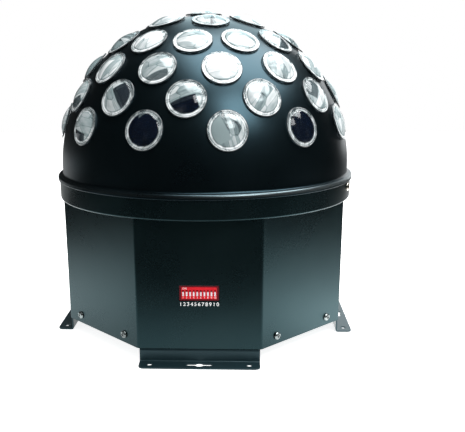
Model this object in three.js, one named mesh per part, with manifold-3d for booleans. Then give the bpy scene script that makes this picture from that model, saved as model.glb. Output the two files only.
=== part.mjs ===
// A magic ball light: a black dome set with small clear lenses, standing on an eight-sided sheet
// steel housing with four feet. A bowl with holes turns inside the dome, above a ring of LEDs.
// Lengths are millimetres. Z is up, -Y is the front, and the origin is on the floor under the dome.
import * as THREE from 'three';
import { mergeVertices } from 'three/addons/utils/BufferGeometryUtils.js';
import Module from 'manifold-3d';

const wasm = await Module();
wasm.setup();

// Clearances and overruns that several pieces share
const GAP = 0.3; // between pieces that seat in or on each other
const OVERRUN = 2; // how far a cutter runs past the face it cuts
const WELD = 0.001; // vertices closer than this are one
const SHEET = 1.2; // steel sheet of the housing, collar and feet
const BOARD_SHEET = 1.6; // circuit boards
const LENS_SIDES = 8; // facets of a lens
const ROUND_SIDES = 16; // facets of a turned piece of middling size
const SMALL_SIDES = 8; // facets of a small one

// Housing: an upright eight-sided wall round a tray and a deck
const FOOT_HEIGHT = 11;
const HOUSING_INSET = 7; // how far its flat faces stand inside the dome's widest part
const HOUSING_HEIGHT = 97;
const TRAY_SHEET = 1.5;
const TAB_HEIGHT = 12; // the tray's upturned tabs that the cover screws go into
const TAB_INSET = 9.15; // of a tab's ends from its face's ends

// Feet: Z-shaped brackets under the four square faces
const FOOT_FLANGE = 11.5; // how far the flange stands out from the housing
const FOOT_END_MARGIN = 1; // the foot is this much shorter than its face at each end
const FOOT_INSET = 0.5; // the foot's upright stands this far behind the housing's face
const FOOT_TOP_FLANGE = 14;
const FOOT_CORNER = 4;
const FOOT_CORNER_SEGMENTS = 3;
const FOOT_HOLE_RADIUS = 2;
const FOOT_HOLE_INSET = 8.85; // of the round holes' centres from the face's ends
const KEYHOLE_LENGTH = 19;
const KEYHOLE_SLOT_RADIUS = 1.7;
const KEYHOLE_CENTRE_RADIUS = 3.3;

// Dome: a half ball over a short straight neck, a rolled bead and a skirt that drops into the collar
const DOME_RADIUS = 116;
const DOME_WALL = 1.5;
const DOME_SIDES = 24; // twice the lenses of a ring, so that each lens sits on the middle of a facet
const DOME_NECK = 3.7;
const DOME_TURN = 10.6; // degrees that the dome is turned from the front, towards +X
const BEAD_OVERHANG = 4; // how far the bead stands out from the dome
const BEAD_SECTION = 2; // half of the bead's height
const BEAD_FLARE = 1.5; // height over which the bead runs into the neck
const BEAD_ANGLES = [-90, -45, 0, 45, 90]; // degrees round the bead's section
const SKIRT_DEPTH = 10;

// Collar: the shallow pan that the dome's skirt sits in
const COLLAR_INSET = 1.2; // how far the collar is set back under the bead
const COLLAR_HEIGHT = 14.5;
const COLLAR_OPENING = 75; // radius of the hole in its floor

// Lenses, in rings round the dome: how high each ring sits, as an angle, and how many it has
const LENS_ROWS = [
  { elevation: 18.3, count: 12, shifted: false },
  { elevation: 29.5, count: 12, shifted: true },
  { elevation: 41.5, count: 12, shifted: false },
  { elevation: 55.3, count: 12, shifted: true },
  { elevation: 72, count: 6, shifted: false },
];
const LENS_SPIGOT_RADIUS = 10.1; // of the part that fills the dome's hole
const LENS_FLANGE = 4.3; // how far the rim stands out past the spigot
const LENS_SPIGOT_REACH = 3.2; // how far the spigot stands out inside the dome wall
const LENS_RIM = 1.3; // height of the rim
const LENS_BEVEL = 0.9; // rise from the rim to the crown
const LENS_BEVEL_WIDTH = 4;
const LENS_CROWN = 2.1;
const HOOP_WIDTH = 5; // of the hoop inside the dome that holds one ring of lenses
const HOOP_THICKNESS = 1.2;

// Screws
const SCREW_RADIUS = 1.5;
const SCREW_LENGTH = 6;
const SCREW_HEAD_HEIGHT = 1.8;
const SCREW_HOLE_CLEARANCE = 0.4;
const COVER_SCREW_HEAD_RADIUS = 2.9;
const COVER_SCREW_INSET = 16.25; // from the slanting face's ends
const COVER_SCREW_HEIGHT = 6.6; // above the housing's lower edge
const COLLAR_SCREW_HEAD_RADIUS = 3.3;
const COLLAR_SCREW_COUNT = 2;
const COLLAR_SCREW_TURN = 60; // degrees round from the dome's first lens
const COLLAR_SCREW_HEIGHT = 10.8; // above the collar's foot

// Ten-way switch behind the front panel
const SWITCH_COUNT = 10;
const SWITCH_PITCH = 2.54;
const SWITCH_END = 0.9; // of its body past the first and last lever's share
const SWITCH_HEIGHT = 9.9;
const SWITCH_DEPTH = 7.7;
const SWITCH_CENTRE_HEIGHT = 42.7; // above the housing's lower edge
const SWITCH_RECESS = 0.3; // its face behind the panel's outer face
const SWITCH_WINDOW_MARGIN = 0.8;
const SLOT_DEPTH = 2;
const LEVER_WIDTH = 1.2;
const LEVER_HEIGHT = 3;
const LEVER_PROUD = 0.5;
const LEVER_TRAVEL = 1.4;
const LEVER_GAP = 0.15; // round a lever in its slot

// Control board on studs behind the front panel
const CONTROL_BOARD_WIDTH = 64;
const CONTROL_BOARD_HEIGHT = 46;
const STUD_RADIUS = 2.5;
const STUD_INSET = 5; // stud centres in from a board's edges

// Deck, motor and lamp
const VENT_COUNT = 6;
const VENT_RADIUS = 7;
const VENT_CIRCLE = 60;
const MOTOR_SIZE = 42;
const MOTOR_HEIGHT = 34;
const MOTOR_BOSS_RADIUS = 11;
const MOTOR_BOSS_HEIGHT = 2; // above the deck
const SHAFT_RADIUS = 2.5;
const SHAFT_SEAT_DEPTH = 8; // of the hole in the motor that the shaft turns in
const SINK_RADIUS = 44;
const SINK_HEIGHT = 16;
const SINK_PLATE = 3;
const SINK_BORE = 12;
const SINK_HUB_WALL = 3;
const FIN_COUNT = 12;
const FIN_SHEET = 2;
const FIN_INSET = 2; // fin ends in from the plate's edge
const LED_COUNT = 6;
const LED_CIRCLE = 28;
const LED_BASE_RADIUS = 5;
const LED_BASE_HEIGHT = 1.2;
const LED_RADIUS = 3;
const LED_HEIGHT = 2.4;

// Turning bowl, centred on the dome's ball
const BOWL_RADIUS = 62;
const BOWL_WALL = 1.2;
const BOWL_RIM = 3; // of the straight rim below the bowl's centre
const BOWL_HOLE_RADIUS = 8;
const BOWL_ROWS = [
  { elevation: 18, count: 8 },
  { elevation: 46, count: 4 },
];
const BOWL_HUB_RADIUS = 7;
const BOWL_HUB_HEIGHT = 10;
const BOWL_HUB_ROOF = 2; // left over the shaft's end

// Fan on the tray
const FAN_SIZE = 60;
const FAN_HEIGHT = 15;
const FAN_WALL = 2; // at its thinnest, between the bore and the outside
const FAN_TIP_GAP = 1;
const FAN_HUB_RADIUS = 12;
const FAN_SPIDER = 2; // thickness of the arms under the rotor
const FAN_ARM_WIDTH = 4;
const FAN_BLADES = 7;
const FAN_BLADE_SHEET = 1.2;
const FAN_BLADE_CHORD = 12;
const FAN_BLADE_TILT = 35; // degrees
const GRILLE_SLOTS = 7;
const GRILLE_SLOT_WIDTH = 3.6;
const GRILLE_PITCH = 7;

// Power supply beside the fan
const SUPPLY_CLEARANCE = 9; // between it and the fan
const SUPPLY_WIDTH = 46;
const SUPPLY_STUD_HEIGHT = 6;
const CORE_WIDTH = 34; // of the transformer
const CORE_LENGTH = 18;
const CORE_HEIGHT = 28;
const BOBBIN_LENGTH = 36;
const BOBBIN_INSET = 4.5; // in from the core's sides and top
const TRANSFORMER_Y = -20;
const CAPACITOR_RADIUS = 8;
const CAPACITOR_HEIGHT = 25;
const CAPACITOR_Y = 26;

// Signal sockets on the rear face
const SIGNAL_X = 21; // of one socket to each side
const SIGNAL_PLATE_WIDTH = 26;
const SIGNAL_PLATE_HEIGHT = 31;
const SIGNAL_PLATE = 2;
const BARREL_RADIUS = 11.9;
const BARREL_DEPTH = 16;
const CAVITY_RADIUS = 9.7; // of the inward-facing socket
const CAVITY_DEPTH = 14;
const PIN_COUNT = 3;
const PIN_RADIUS = 1.2;
const PIN_LENGTH = 8.5;
const PIN_CIRCLE = 4;
const MOAT_RADIUS = 8; // of the ring-shaped gap round the other socket's core
const MOAT_WIDTH = 1.6;
const MOAT_DEPTH = 12;
const CORE_RECESS = 0.5;
const LATCH_WIDTH = 6;
const LATCH_THICKNESS = 2.2;
const LATCH_LENGTH = 9;
const LATCH_PROUD = 2.5;
const LATCH_RISE = 9.9; // above the socket's centre
const LATCH_TRAVEL = 1.5;

// Power inlet with its fuse drawer, on the rear face
const INLET_X = -20;
const INLET_PLATE_WIDTH = 31;
const INLET_PLATE_HEIGHT = 35;
const INLET_PLATE = 2.5;
const INLET_MARGIN = 1.5; // its body is this much smaller all round than its plate
const INLET_DEPTH = 26;
const INLET_CAVITY_WIDTH = 24.2;
const INLET_CAVITY_HEIGHT = 16.6;
const INLET_CAVITY_DEPTH = 17;
const INLET_CAVITY_RISE = 5.5; // above the plate's centre
const BLADE_WIDTH = 2;
const BLADE_HEIGHT = 4;
const BLADE_LENGTH = 11.5;
const BLADE_SPREAD = 7;
const EARTH_RISE = 2.5; // of the middle blade above the cavity's centre
const LIVE_DROP = 1.2; // of the outer blades below it
const DRAWER_WIDTH = 22;
const DRAWER_HEIGHT = 6.4;
const DRAWER_LENGTH = 20;
const DRAWER_DROP = 11; // below the plate's centre
const DRAWER_LIP = 1.2;

// Rocker switch on the rear face
const ROCKER_X = 22;
const ROCKER_PLATE_MARGIN = 2.4; // plate past the well, at the sides
const ROCKER_PLATE_END = 2.7; // and at the ends
const ROCKER_PLATE = 1.8;
const ROCKER_MARGIN = 1.2; // its body is this much smaller all round than its plate
const ROCKER_WELL = 10.8;
const ROCKER_FLOOR = 5;
const ROCKER_WIDTH = 10.4;
const ROCKER_LENGTH = 15.8;
const ROCKER_SIDE_GAP = 0.4;
const ROCKER_END_GAP = 0.9;
const ROCKER_DEPTH = 5; // behind its pivot
const ROCKER_PROUD = 4.5; // of its ends in front of its pivot
const ROCKER_DIP = 1.4; // of its middle behind its ends
const ROCKER_PIVOT_INSET = 2; // behind the housing's face
const ROCKER_TILT = 9; // degrees to each side

// Microphone behind a hole in the rear face
const MICROPHONE_X = 22;
const MICROPHONE_RADIUS = 4.8;
const MICROPHONE_LENGTH = 6;
const MICROPHONE_HOLE = 2.4;

// Sizes and places that follow from the ones above
const HOUSING_APOTHEM = DOME_RADIUS - HOUSING_INSET; // centre to a flat face
const INNER_APOTHEM = HOUSING_APOTHEM - SHEET;
const FITTED_APOTHEM = INNER_APOTHEM - GAP; // of the deck and tray
const FACE_WIDTH = 2 * HOUSING_APOTHEM * Math.tan(Math.PI / 8);
const SEAM_Y = -FACE_WIDTH / 2; // where the front cover meets the rear housing
const TAB_LENGTH = FACE_WIDTH - 2 * TAB_INSET;
const FOOT_HOLE_SPAN = FACE_WIDTH - 2 * FOOT_HOLE_INSET;
const COVER_SCREW_SPAN = FACE_WIDTH - 2 * COVER_SCREW_INSET;
const SUPPLY_LENGTH = FACE_WIDTH;
const COLLAR_RADIUS = DOME_RADIUS + BEAD_OVERHANG - COLLAR_INSET;
const BALL_OVER_BEAD = BEAD_SECTION + BEAD_FLARE + DOME_NECK;
const BALL_OVER_COLLAR = GAP + BEAD_SECTION + BALL_OVER_BEAD;
const LENS_HOLE_RADIUS = LENS_SPIGOT_RADIUS + GAP;
const SCREW_HOLE_RADIUS = SCREW_RADIUS + SCREW_HOLE_CLEARANCE;
const SWITCH_WIDTH = SWITCH_COUNT * SWITCH_PITCH + 2 * SWITCH_END;
const SLOT_HEIGHT = LEVER_HEIGHT + LEVER_TRAVEL + 2 * LEVER_GAP;
const STUD_REACH = SWITCH_RECESS + SWITCH_DEPTH; // from the panel's face to the control board
const FAN_BORE = FAN_SIZE / 2 - FAN_WALL;
const SUPPLY_X = -FAN_SIZE / 2 - SUPPLY_CLEARANCE - SUPPLY_WIDTH / 2;
const SHAFT_FOOT = MOTOR_BOSS_HEIGHT - SHEET - SHAFT_SEAT_DEPTH; // from the deck's top
const SHAFT_TOP = COLLAR_HEIGHT + BALL_OVER_COLLAR + BOWL_RADIUS - BOWL_WALL - BOWL_HUB_ROOF;
const WELL_WIDTH = ROCKER_WIDTH + 2 * ROCKER_SIDE_GAP;
const WELL_LENGTH = ROCKER_LENGTH + 2 * ROCKER_END_GAP;
const ROCKER_PLATE_WIDTH = WELL_WIDTH + 2 * ROCKER_PLATE_MARGIN;
const ROCKER_PLATE_HEIGHT = WELL_LENGTH + 2 * ROCKER_PLATE_END;

// Heights on the rear face, above the housing's lower edge. The sockets stand over the inlet, with
// the same gap below, between and above them. The microphone is half way from the rocker to a socket.
const REAR_GAP = (HOUSING_HEIGHT - SIGNAL_PLATE_HEIGHT - INLET_PLATE_HEIGHT) / 3;
const INLET_HEIGHT = REAR_GAP + INLET_PLATE_HEIGHT / 2;
const SIGNAL_HEIGHT = HOUSING_HEIGHT - REAR_GAP - SIGNAL_PLATE_HEIGHT / 2;
const ROCKER_HEIGHT = INLET_HEIGHT;
const ROCKER_TOP = ROCKER_HEIGHT + ROCKER_PLATE_HEIGHT / 2;
const MICROPHONE_HEIGHT = (ROCKER_TOP + SIGNAL_HEIGHT - SIGNAL_PLATE_HEIGHT / 2) / 2;

const radians = THREE.MathUtils.degToRad;
const times = (count, make) => Array.from({ length: count }, (_, i) => make(i));

// A closed geometry as a solid that can be cut and joined, with its faces pointing out
function solid(geometry) {
  const loose = geometry.index ? geometry.toNonIndexed() : geometry;
  const bare = new THREE.BufferGeometry().setAttribute('position', loose.getAttribute('position'));
  const merged = mergeVertices(bare, WELD);
  const corners = merged.index.array;
  const faces = [];
  for (let i = 0; i < corners.length; i += 3) {
    const [a, b, c] = corners.slice(i, i + 3);
    if (a !== b && b !== c && c !== a) faces.push([a, b, c]);
  }
  const build = (list) => new wasm.Manifold(new wasm.Mesh({
    numProp: 3,
    vertProperties: merged.attributes.position.array,
    triVerts: new Uint32Array(list.flat()),
  }));
  const made = build(faces);
  return made.volume() > 0 ? made : build(faces.map(([a, b, c]) => [a, c, b]));
}

const join = (...pieces) => pieces.flat().reduce((whole, piece) => whole.add(piece));
const cut = (piece, ...cutters) => cutters.flat().reduce((left, cutter) => left.subtract(cutter), piece);

// A finished solid as a named mesh
function mesh(name, piece, material) {
  const { numProp, vertProperties, triVerts } = piece.getMesh();
  const count = vertProperties.length / numProp;
  const vertices = new Float32Array(count * 3);
  times(count, (i) => vertices.set(vertProperties.subarray(i * numProp, i * numProp + 3), i * 3));
  const geometry = new THREE.BufferGeometry();
  geometry.setAttribute('position', new THREE.BufferAttribute(vertices, 3));
  geometry.setIndex(new THREE.BufferAttribute(new Uint32Array(triVerts), 1));
  geometry.computeVertexNormals();
  const made = new THREE.Mesh(geometry, material);
  made.name = name;
  return made;
}

// Another mesh of the same shape and material
function twin(original, name) {
  const copy = new THREE.Mesh(original.geometry, original.material);
  copy.name = name;
  return copy;
}

// Pieces held in a frame of their own, given where its origin lies or how far it is turned about Z
function frame(x, y, z, ...pieces) {
  const made = new THREE.Group();
  made.position.set(x, y, z);
  made.add(...pieces.flat());
  return made;
}

function turnedFrame(angle, ...pieces) {
  const made = frame(0, 0, 0, ...pieces);
  made.rotation.z = angle;
  return made;
}

// A block between two corners
function block([x0, y0, z0], [x1, y1, z1]) {
  const geometry = new THREE.BoxGeometry(x1 - x0, y1 - y0, z1 - z0);
  return solid(geometry.translate((x0 + x1) / 2, (y0 + y1) / 2, (z0 + z1) / 2));
}

// An upright round bar between two levels
function post(x, y, radius, low, high, sides = SMALL_SIDES) {
  const geometry = new THREE.CylinderGeometry(radius, radius, high - low, sides);
  return solid(geometry.rotateX(Math.PI / 2).translate(x, y, (low + high) / 2));
}

// A round bar that runs from front to back
function barAlongY(x, z, radius, near, far, sides = SMALL_SIDES) {
  const geometry = new THREE.CylinderGeometry(radius, radius, far - near, sides);
  return solid(geometry.translate(x, (near + far) / 2, z));
}

// A profile of [radius, height] points turned about the Z axis, as a geometry
function turned(profile, sides) {
  const points = profile.map(([r, z]) => new THREE.Vector2(r, z));
  return new THREE.LatheGeometry(points, sides).rotateX(Math.PI / 2);
}

// The same, with the middle of a facet at the front instead of a corner
const turnedFlat = (profile, sides) => solid(turned(profile, sides).rotateZ(Math.PI / sides));

const outline = (points) => new THREE.Shape(points.map(([x, y]) => new THREE.Vector2(x, y)));

// A flat outline raised from one level to another
function raised(shape, low, high) {
  const settings = { depth: high - low, bevelEnabled: false, curveSegments: FOOT_CORNER_SEGMENTS };
  return solid(new THREE.ExtrudeGeometry(shape, settings).translate(0, 0, low));
}

// The eight corners of an octagon with flat faces at the front, back and sides
function octagon(apothem) {
  const reach = apothem / Math.cos(Math.PI / 8);
  return times(8, (i) => {
    const angle = (i + 0.5) * Math.PI / 4;
    return [reach * Math.cos(angle), reach * Math.sin(angle)];
  });
}

// Turns a geometry that points up +Z so that it points out of a ball at the origin
function aimed(geometry, azimuth, elevation) {
  const level = Math.cos(radians(elevation));
  const out = new THREE.Vector3(
    level * Math.sin(radians(azimuth)),
    -level * Math.cos(radians(azimuth)),
    Math.sin(radians(elevation)),
  );
  const turn = new THREE.Quaternion().setFromUnitVectors(new THREE.Vector3(0, 0, 1), out);
  return geometry.clone().applyQuaternion(turn);
}

// The quarter profile of a half ball, from its widest point to its top. Its facets change slope
// half way between the rings of holes, so that a hole lies on flat ground.
function quarter(radius, rows) {
  const elevations = [...rows.map((row) => row.elevation), 90];
  const between = elevations.slice(1).map((upper, i) => (upper + elevations[i]) / 2);
  const lowest = 2 * elevations[0] - between[0];
  const slopes = [0, lowest, ...between].map(radians);
  return [...slopes.map((angle) => [radius * Math.cos(angle), radius * Math.sin(angle)]), [0, radius]];
}

const paint = (color, roughness, metalness = 0) =>
  new THREE.MeshStandardMaterial({ color, roughness, metalness });
const domeBlack = paint(0x0b0f11, 0.35, 0.2);
const housingGrey = paint(0x2b3a3d, 0.5, 0.3);
const clear = new THREE.MeshStandardMaterial({
  color: 0xe8eef0, roughness: 0.05, metalness: 0, transparent: true, opacity: 0.5,
});
const steel = paint(0xb9bcbc, 0.3, 0.9);
const screwBlack = paint(0x1c1f20, 0.35, 0.8);
const switchRed = paint(0xd01020, 0.4);
const leverWhite = paint(0xf4f2f2, 0.45);
const boardGreen = paint(0x14532d, 0.5);
const aluminium = paint(0xc4c8ca, 0.35, 0.9);
const plasticBlack = paint(0x141414, 0.5);
const boardWhite = paint(0xf2efdc, 0.4);
const sinkBlack = paint(0x202224, 0.5, 0.6);

// A cutter for the dome's or the bowl's wall that points up +Z
function wallDrill(radius, ball, sides) {
  const geometry = new THREE.CylinderGeometry(radius, radius, ball / 2, sides);
  return geometry.rotateX(Math.PI / 2).translate(0, 0, ball);
}

// Where the lenses of one ring are, counted from the dome's own front
function ringPlaces({ elevation, count, shifted }) {
  const step = 360 / count;
  return times(count, (i) => ({ elevation, azimuth: step * (shifted ? i + 0.5 : i) }));
}

const topPlace = { elevation: 90, azimuth: 0 };

// The dome's profile runs down the inside and back up the outside
function domeShell() {
  const bead = -BALL_OVER_BEAD;
  const beadCentre = DOME_RADIUS + BEAD_OVERHANG - BEAD_SECTION;
  const skirtRadius = COLLAR_RADIUS - SHEET - GAP;
  const skirtFoot = bead - BEAD_SECTION - SKIRT_DEPTH;
  const shell = turnedFlat([
    ...quarter(DOME_RADIUS - DOME_WALL, LENS_ROWS).reverse(),
    [skirtRadius - DOME_WALL, bead],
    [skirtRadius - DOME_WALL, skirtFoot],
    [skirtRadius, skirtFoot],
    [skirtRadius, bead - BEAD_SECTION],
    ...BEAD_ANGLES.map(radians).map((angle) => [
      beadCentre + BEAD_SECTION * Math.cos(angle),
      bead + BEAD_SECTION * Math.sin(angle),
    ]),
    [DOME_RADIUS, bead + BEAD_SECTION + BEAD_FLARE],
    ...quarter(DOME_RADIUS, LENS_ROWS),
  ], DOME_SIDES);
  const drill = wallDrill(LENS_HOLE_RADIUS, DOME_RADIUS, LENS_SIDES);
  const holes = [...LENS_ROWS.flatMap(ringPlaces), topPlace]
    .map(({ azimuth, elevation }) => solid(aimed(drill, azimuth, elevation)));
  const screwHoles = collarScrewHoles(COLLAR_SCREW_HEIGHT - COLLAR_HEIGHT - BALL_OVER_COLLAR);
  return mesh('dome_shell', cut(shell, holes, screwHoles), domeBlack);
}

// One lens, pointing up +Z from the ball's centre: spigot, rim, bevel and crown
function lensGeometry() {
  const seat = Math.sqrt(DOME_RADIUS ** 2 - LENS_HOLE_RADIUS ** 2) + GAP;
  const spigotEnd = DOME_RADIUS - DOME_WALL - LENS_SPIGOT_REACH;
  const rimRadius = LENS_SPIGOT_RADIUS + LENS_FLANGE;
  const crownFoot = seat + LENS_RIM + LENS_BEVEL;
  return turned([
    [0, spigotEnd],
    [LENS_SPIGOT_RADIUS, spigotEnd],
    [LENS_SPIGOT_RADIUS, seat],
    [rimRadius, seat],
    [rimRadius, seat + LENS_RIM],
    [rimRadius - LENS_BEVEL_WIDTH, crownFoot],
    [0, crownFoot + LENS_CROWN],
  ], LENS_SIDES);
}

// The thin hoop inside the dome that a ring of lenses clips into
function lensHoop({ elevation }) {
  const outer = DOME_RADIUS - DOME_WALL - LENS_SPIGOT_REACH / 2;
  const inner = outer - HOOP_THICKNESS;
  const spread = HOOP_WIDTH / 2 / DOME_RADIUS;
  const corner = (radius, side) => {
    const angle = radians(elevation) + side * spread;
    return [radius * Math.cos(angle), radius * Math.sin(angle)];
  };
  const corners = [corner(inner, -1), corner(outer, -1), corner(outer, 1), corner(inner, 1)];
  return turnedFlat([...corners, corners[0]], DOME_SIDES);
}

function lenses() {
  const lens = lensGeometry();
  const placed = ({ azimuth, elevation }) => solid(aimed(lens, azimuth, elevation));
  const rows = LENS_ROWS.map((row, i) =>
    mesh(`lens_row_${i + 1}`, join(lensHoop(row), ringPlaces(row).map(placed)), clear));
  return [...rows, mesh('lens_top', placed(topPlace), clear)];
}

// A screw lying along Y with the underside of its head at zero and its shank going to +Y
function screw(headRadius, material) {
  const geometry = turned([
    [0, -SCREW_HEAD_HEIGHT],
    [headRadius, -SCREW_HEAD_HEIGHT],
    [headRadius, 0],
    [SCREW_RADIUS, 0],
    [SCREW_RADIUS, SCREW_LENGTH],
    [0, SCREW_LENGTH],
  ], SMALL_SIDES).rotateX(-Math.PI / 2);
  return mesh('', solid(geometry), material);
}

// A cutter for a screw's clearance hole, lying along Y
const screwDrill = () =>
  new THREE.CylinderGeometry(SCREW_HOLE_RADIUS, SCREW_HOLE_RADIUS, 2 * SCREW_LENGTH, SMALL_SIDES);

const collarScrewAngles = () =>
  times(COLLAR_SCREW_COUNT, (i) => radians(COLLAR_SCREW_TURN + (360 / COLLAR_SCREW_COUNT) * i));

// Clearance holes for the collar's screws, through the collar and the dome's skirt
function collarScrewHoles(height) {
  const drill = screwDrill().translate(0, -COLLAR_RADIUS, height);
  return collarScrewAngles().map((angle) => solid(drill.clone().rotateZ(angle)));
}

function collar() {
  const inner = COLLAR_RADIUS - SHEET;
  const pan = turnedFlat([
    [COLLAR_OPENING, 0],
    [COLLAR_RADIUS, 0],
    [COLLAR_RADIUS, COLLAR_HEIGHT],
    [inner, COLLAR_HEIGHT],
    [inner, SHEET],
    [COLLAR_OPENING, SHEET],
    [COLLAR_OPENING, 0],
  ], DOME_SIDES);
  return mesh('dome_collar', cut(pan, collarScrewHoles(COLLAR_SCREW_HEIGHT)), housingGrey);
}

function collarScrews() {
  const original = screw(COLLAR_SCREW_HEAD_RADIUS, steel);
  const seat = -COLLAR_RADIUS * Math.cos(Math.PI / DOME_SIDES) - GAP;
  return collarScrewAngles().map((angle, i) =>
    turnedFrame(angle, frame(0, seat, COLLAR_SCREW_HEIGHT, twin(original, `collar_screw_${i + 1}`))));
}

// Where the cover screws are: two on each of the four slanting faces
const slantingFaces = [1, 3, 5, 7].map((eighth) => eighth * Math.PI / 4);
const coverScrewPlaces = slantingFaces.flatMap((turn) =>
  [-1, 1].map((side) => ({ turn, along: side * COVER_SCREW_SPAN / 2 })));

function coverScrewHoles() {
  const drill = screwDrill().translate(0, -HOUSING_APOTHEM, COVER_SCREW_HEIGHT);
  return coverScrewPlaces.map(({ turn, along }) => solid(drill.clone().translate(along, 0, 0).rotateZ(turn)));
}

function coverScrews() {
  const original = screw(COVER_SCREW_HEAD_RADIUS, screwBlack);
  return coverScrewPlaces.map(({ turn, along }, i) => turnedFrame(turn,
    frame(along, -HOUSING_APOTHEM - GAP, COVER_SCREW_HEIGHT, twin(original, `cover_screw_${i + 1}`))));
}

// The whole eight-sided wall, which the two covers are cut from
function housingWall() {
  const ring = outline(octagon(HOUSING_APOTHEM));
  ring.holes.push(outline(octagon(INNER_APOTHEM)));
  return raised(ring, 0, HOUSING_HEIGHT);
}

// Centres of a board's four studs, measured from the board's centre
const studPlaces = (width, height) => [-1, 1].flatMap((across) => [-1, 1].map((up) =>
  [across * (width / 2 - STUD_INSET), up * (height / 2 - STUD_INSET)]));

function frontCover() {
  const wide = 2 * HOUSING_APOTHEM;
  const frontHalf = block([-wide, -wide, -OVERRUN], [wide, SEAM_Y - GAP / 2, wide]);
  const windowWidth = SWITCH_WIDTH / 2 + SWITCH_WINDOW_MARGIN;
  const windowHeight = SWITCH_HEIGHT / 2 + SWITCH_WINDOW_MARGIN;
  const window = block(
    [-windowWidth, -HOUSING_APOTHEM - OVERRUN, SWITCH_CENTRE_HEIGHT - windowHeight],
    [windowWidth, -INNER_APOTHEM + OVERRUN, SWITCH_CENTRE_HEIGHT + windowHeight],
  );
  const root = -HOUSING_APOTHEM + SHEET / 2;
  const studs = studPlaces(CONTROL_BOARD_WIDTH, CONTROL_BOARD_HEIGHT).map(([x, z]) =>
    barAlongY(x, SWITCH_CENTRE_HEIGHT + z, STUD_RADIUS, root, -HOUSING_APOTHEM + STUD_REACH));
  const wall = join(housingWall().intersect(frontHalf), studs);
  return mesh('front_cover', cut(wall, window, coverScrewHoles()), housingGrey);
}

function rearHousing() {
  const wide = 2 * HOUSING_APOTHEM;
  const rearHalf = block([-wide, SEAM_Y + GAP / 2, -OVERRUN], [wide, wide, wide]);
  const near = INNER_APOTHEM - OVERRUN;
  const far = HOUSING_APOTHEM + OVERRUN;
  const window = (x, height, width, length, margin) => block(
    [x - width / 2 + margin - GAP, near, height - length / 2 + margin - GAP],
    [x + width / 2 - margin + GAP, far, height + length / 2 - margin + GAP],
  );
  const round = (x, height, radius) => barAlongY(x, height, radius, near, far, ROUND_SIDES);
  const holes = [
    round(-SIGNAL_X, SIGNAL_HEIGHT, BARREL_RADIUS + GAP),
    round(SIGNAL_X, SIGNAL_HEIGHT, BARREL_RADIUS + GAP),
    round(MICROPHONE_X, MICROPHONE_HEIGHT, MICROPHONE_HOLE),
    window(INLET_X, INLET_HEIGHT, INLET_PLATE_WIDTH, INLET_PLATE_HEIGHT, INLET_MARGIN),
    window(ROCKER_X, ROCKER_HEIGHT, ROCKER_PLATE_WIDTH, ROCKER_PLATE_HEIGHT, ROCKER_MARGIN),
  ];
  return mesh('rear_housing', cut(housingWall().intersect(rearHalf), coverScrewHoles(), holes), housingGrey);
}

function tray() {
  const plate = raised(outline(octagon(FITTED_APOTHEM)), 0, TRAY_SHEET);
  const tab = new THREE.BoxGeometry(TAB_LENGTH, SHEET, TAB_HEIGHT + TRAY_SHEET)
    .translate(0, -FITTED_APOTHEM + SHEET / 2, (TAB_HEIGHT + TRAY_SHEET) / 2);
  const tabs = slantingFaces.map((turn) => solid(tab.clone().rotateZ(turn)));
  const studs = studPlaces(SUPPLY_WIDTH, SUPPLY_LENGTH).map(([x, y]) =>
    post(SUPPLY_X + x, y, STUD_RADIUS, TRAY_SHEET / 2, TRAY_SHEET + SUPPLY_STUD_HEIGHT));
  const slots = times(GRILLE_SLOTS, (i) => {
    const x = (i - (GRILLE_SLOTS - 1) / 2) * GRILLE_PITCH;
    const reach = Math.sqrt(FAN_BORE ** 2 - x ** 2);
    return block(
      [x - GRILLE_SLOT_WIDTH / 2, -reach, -OVERRUN],
      [x + GRILLE_SLOT_WIDTH / 2, reach, TRAY_SHEET + OVERRUN],
    );
  });
  return mesh('bottom_tray', cut(join(plate, tabs, studs), slots, coverScrewHoles()), housingGrey);
}

// One foot, at the front: a flange on the floor with its holes, an upright and a flange under the tray
function foot() {
  const half = FACE_WIDTH / 2 - FOOT_END_MARGIN;
  const front = -HOUSING_APOTHEM - FOOT_FLANGE;
  const face = -HOUSING_APOTHEM + FOOT_INSET;
  const back = face + SHEET;
  const middle = (front + face) / 2;
  const flange = new THREE.Shape();
  flange.moveTo(-half, back);
  flange.lineTo(-half, front + FOOT_CORNER);
  flange.absarc(-half + FOOT_CORNER, front + FOOT_CORNER, FOOT_CORNER, Math.PI, 1.5 * Math.PI);
  flange.absarc(half - FOOT_CORNER, front + FOOT_CORNER, FOOT_CORNER, 1.5 * Math.PI, 2 * Math.PI);
  flange.lineTo(half, back);
  const upright = block([-half, face, 0], [half, back, FOOT_HEIGHT]);
  const top = block([-half, face, FOOT_HEIGHT - SHEET], [half, face + FOOT_TOP_FLANGE, FOOT_HEIGHT]);
  const drill = (x, radius) => post(x, middle, radius, -OVERRUN, SHEET + OVERRUN);
  const slot = block(
    [-KEYHOLE_LENGTH / 2, middle - KEYHOLE_SLOT_RADIUS, -OVERRUN],
    [KEYHOLE_LENGTH / 2, middle + KEYHOLE_SLOT_RADIUS, SHEET + OVERRUN],
  );
  const holes = [
    drill(-FOOT_HOLE_SPAN / 2, FOOT_HOLE_RADIUS),
    drill(0, KEYHOLE_CENTRE_RADIUS),
    drill(FOOT_HOLE_SPAN / 2, FOOT_HOLE_RADIUS),
    slot,
  ];
  return mesh('foot_front', cut(join(raised(flange, 0, SHEET), upright, top), holes), housingGrey);
}

function feet() {
  const original = foot();
  return ['front', 'right', 'rear', 'left'].map((side, i) =>
    turnedFrame(i * Math.PI / 2, twin(original, `foot_${side}`)));
}

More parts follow.
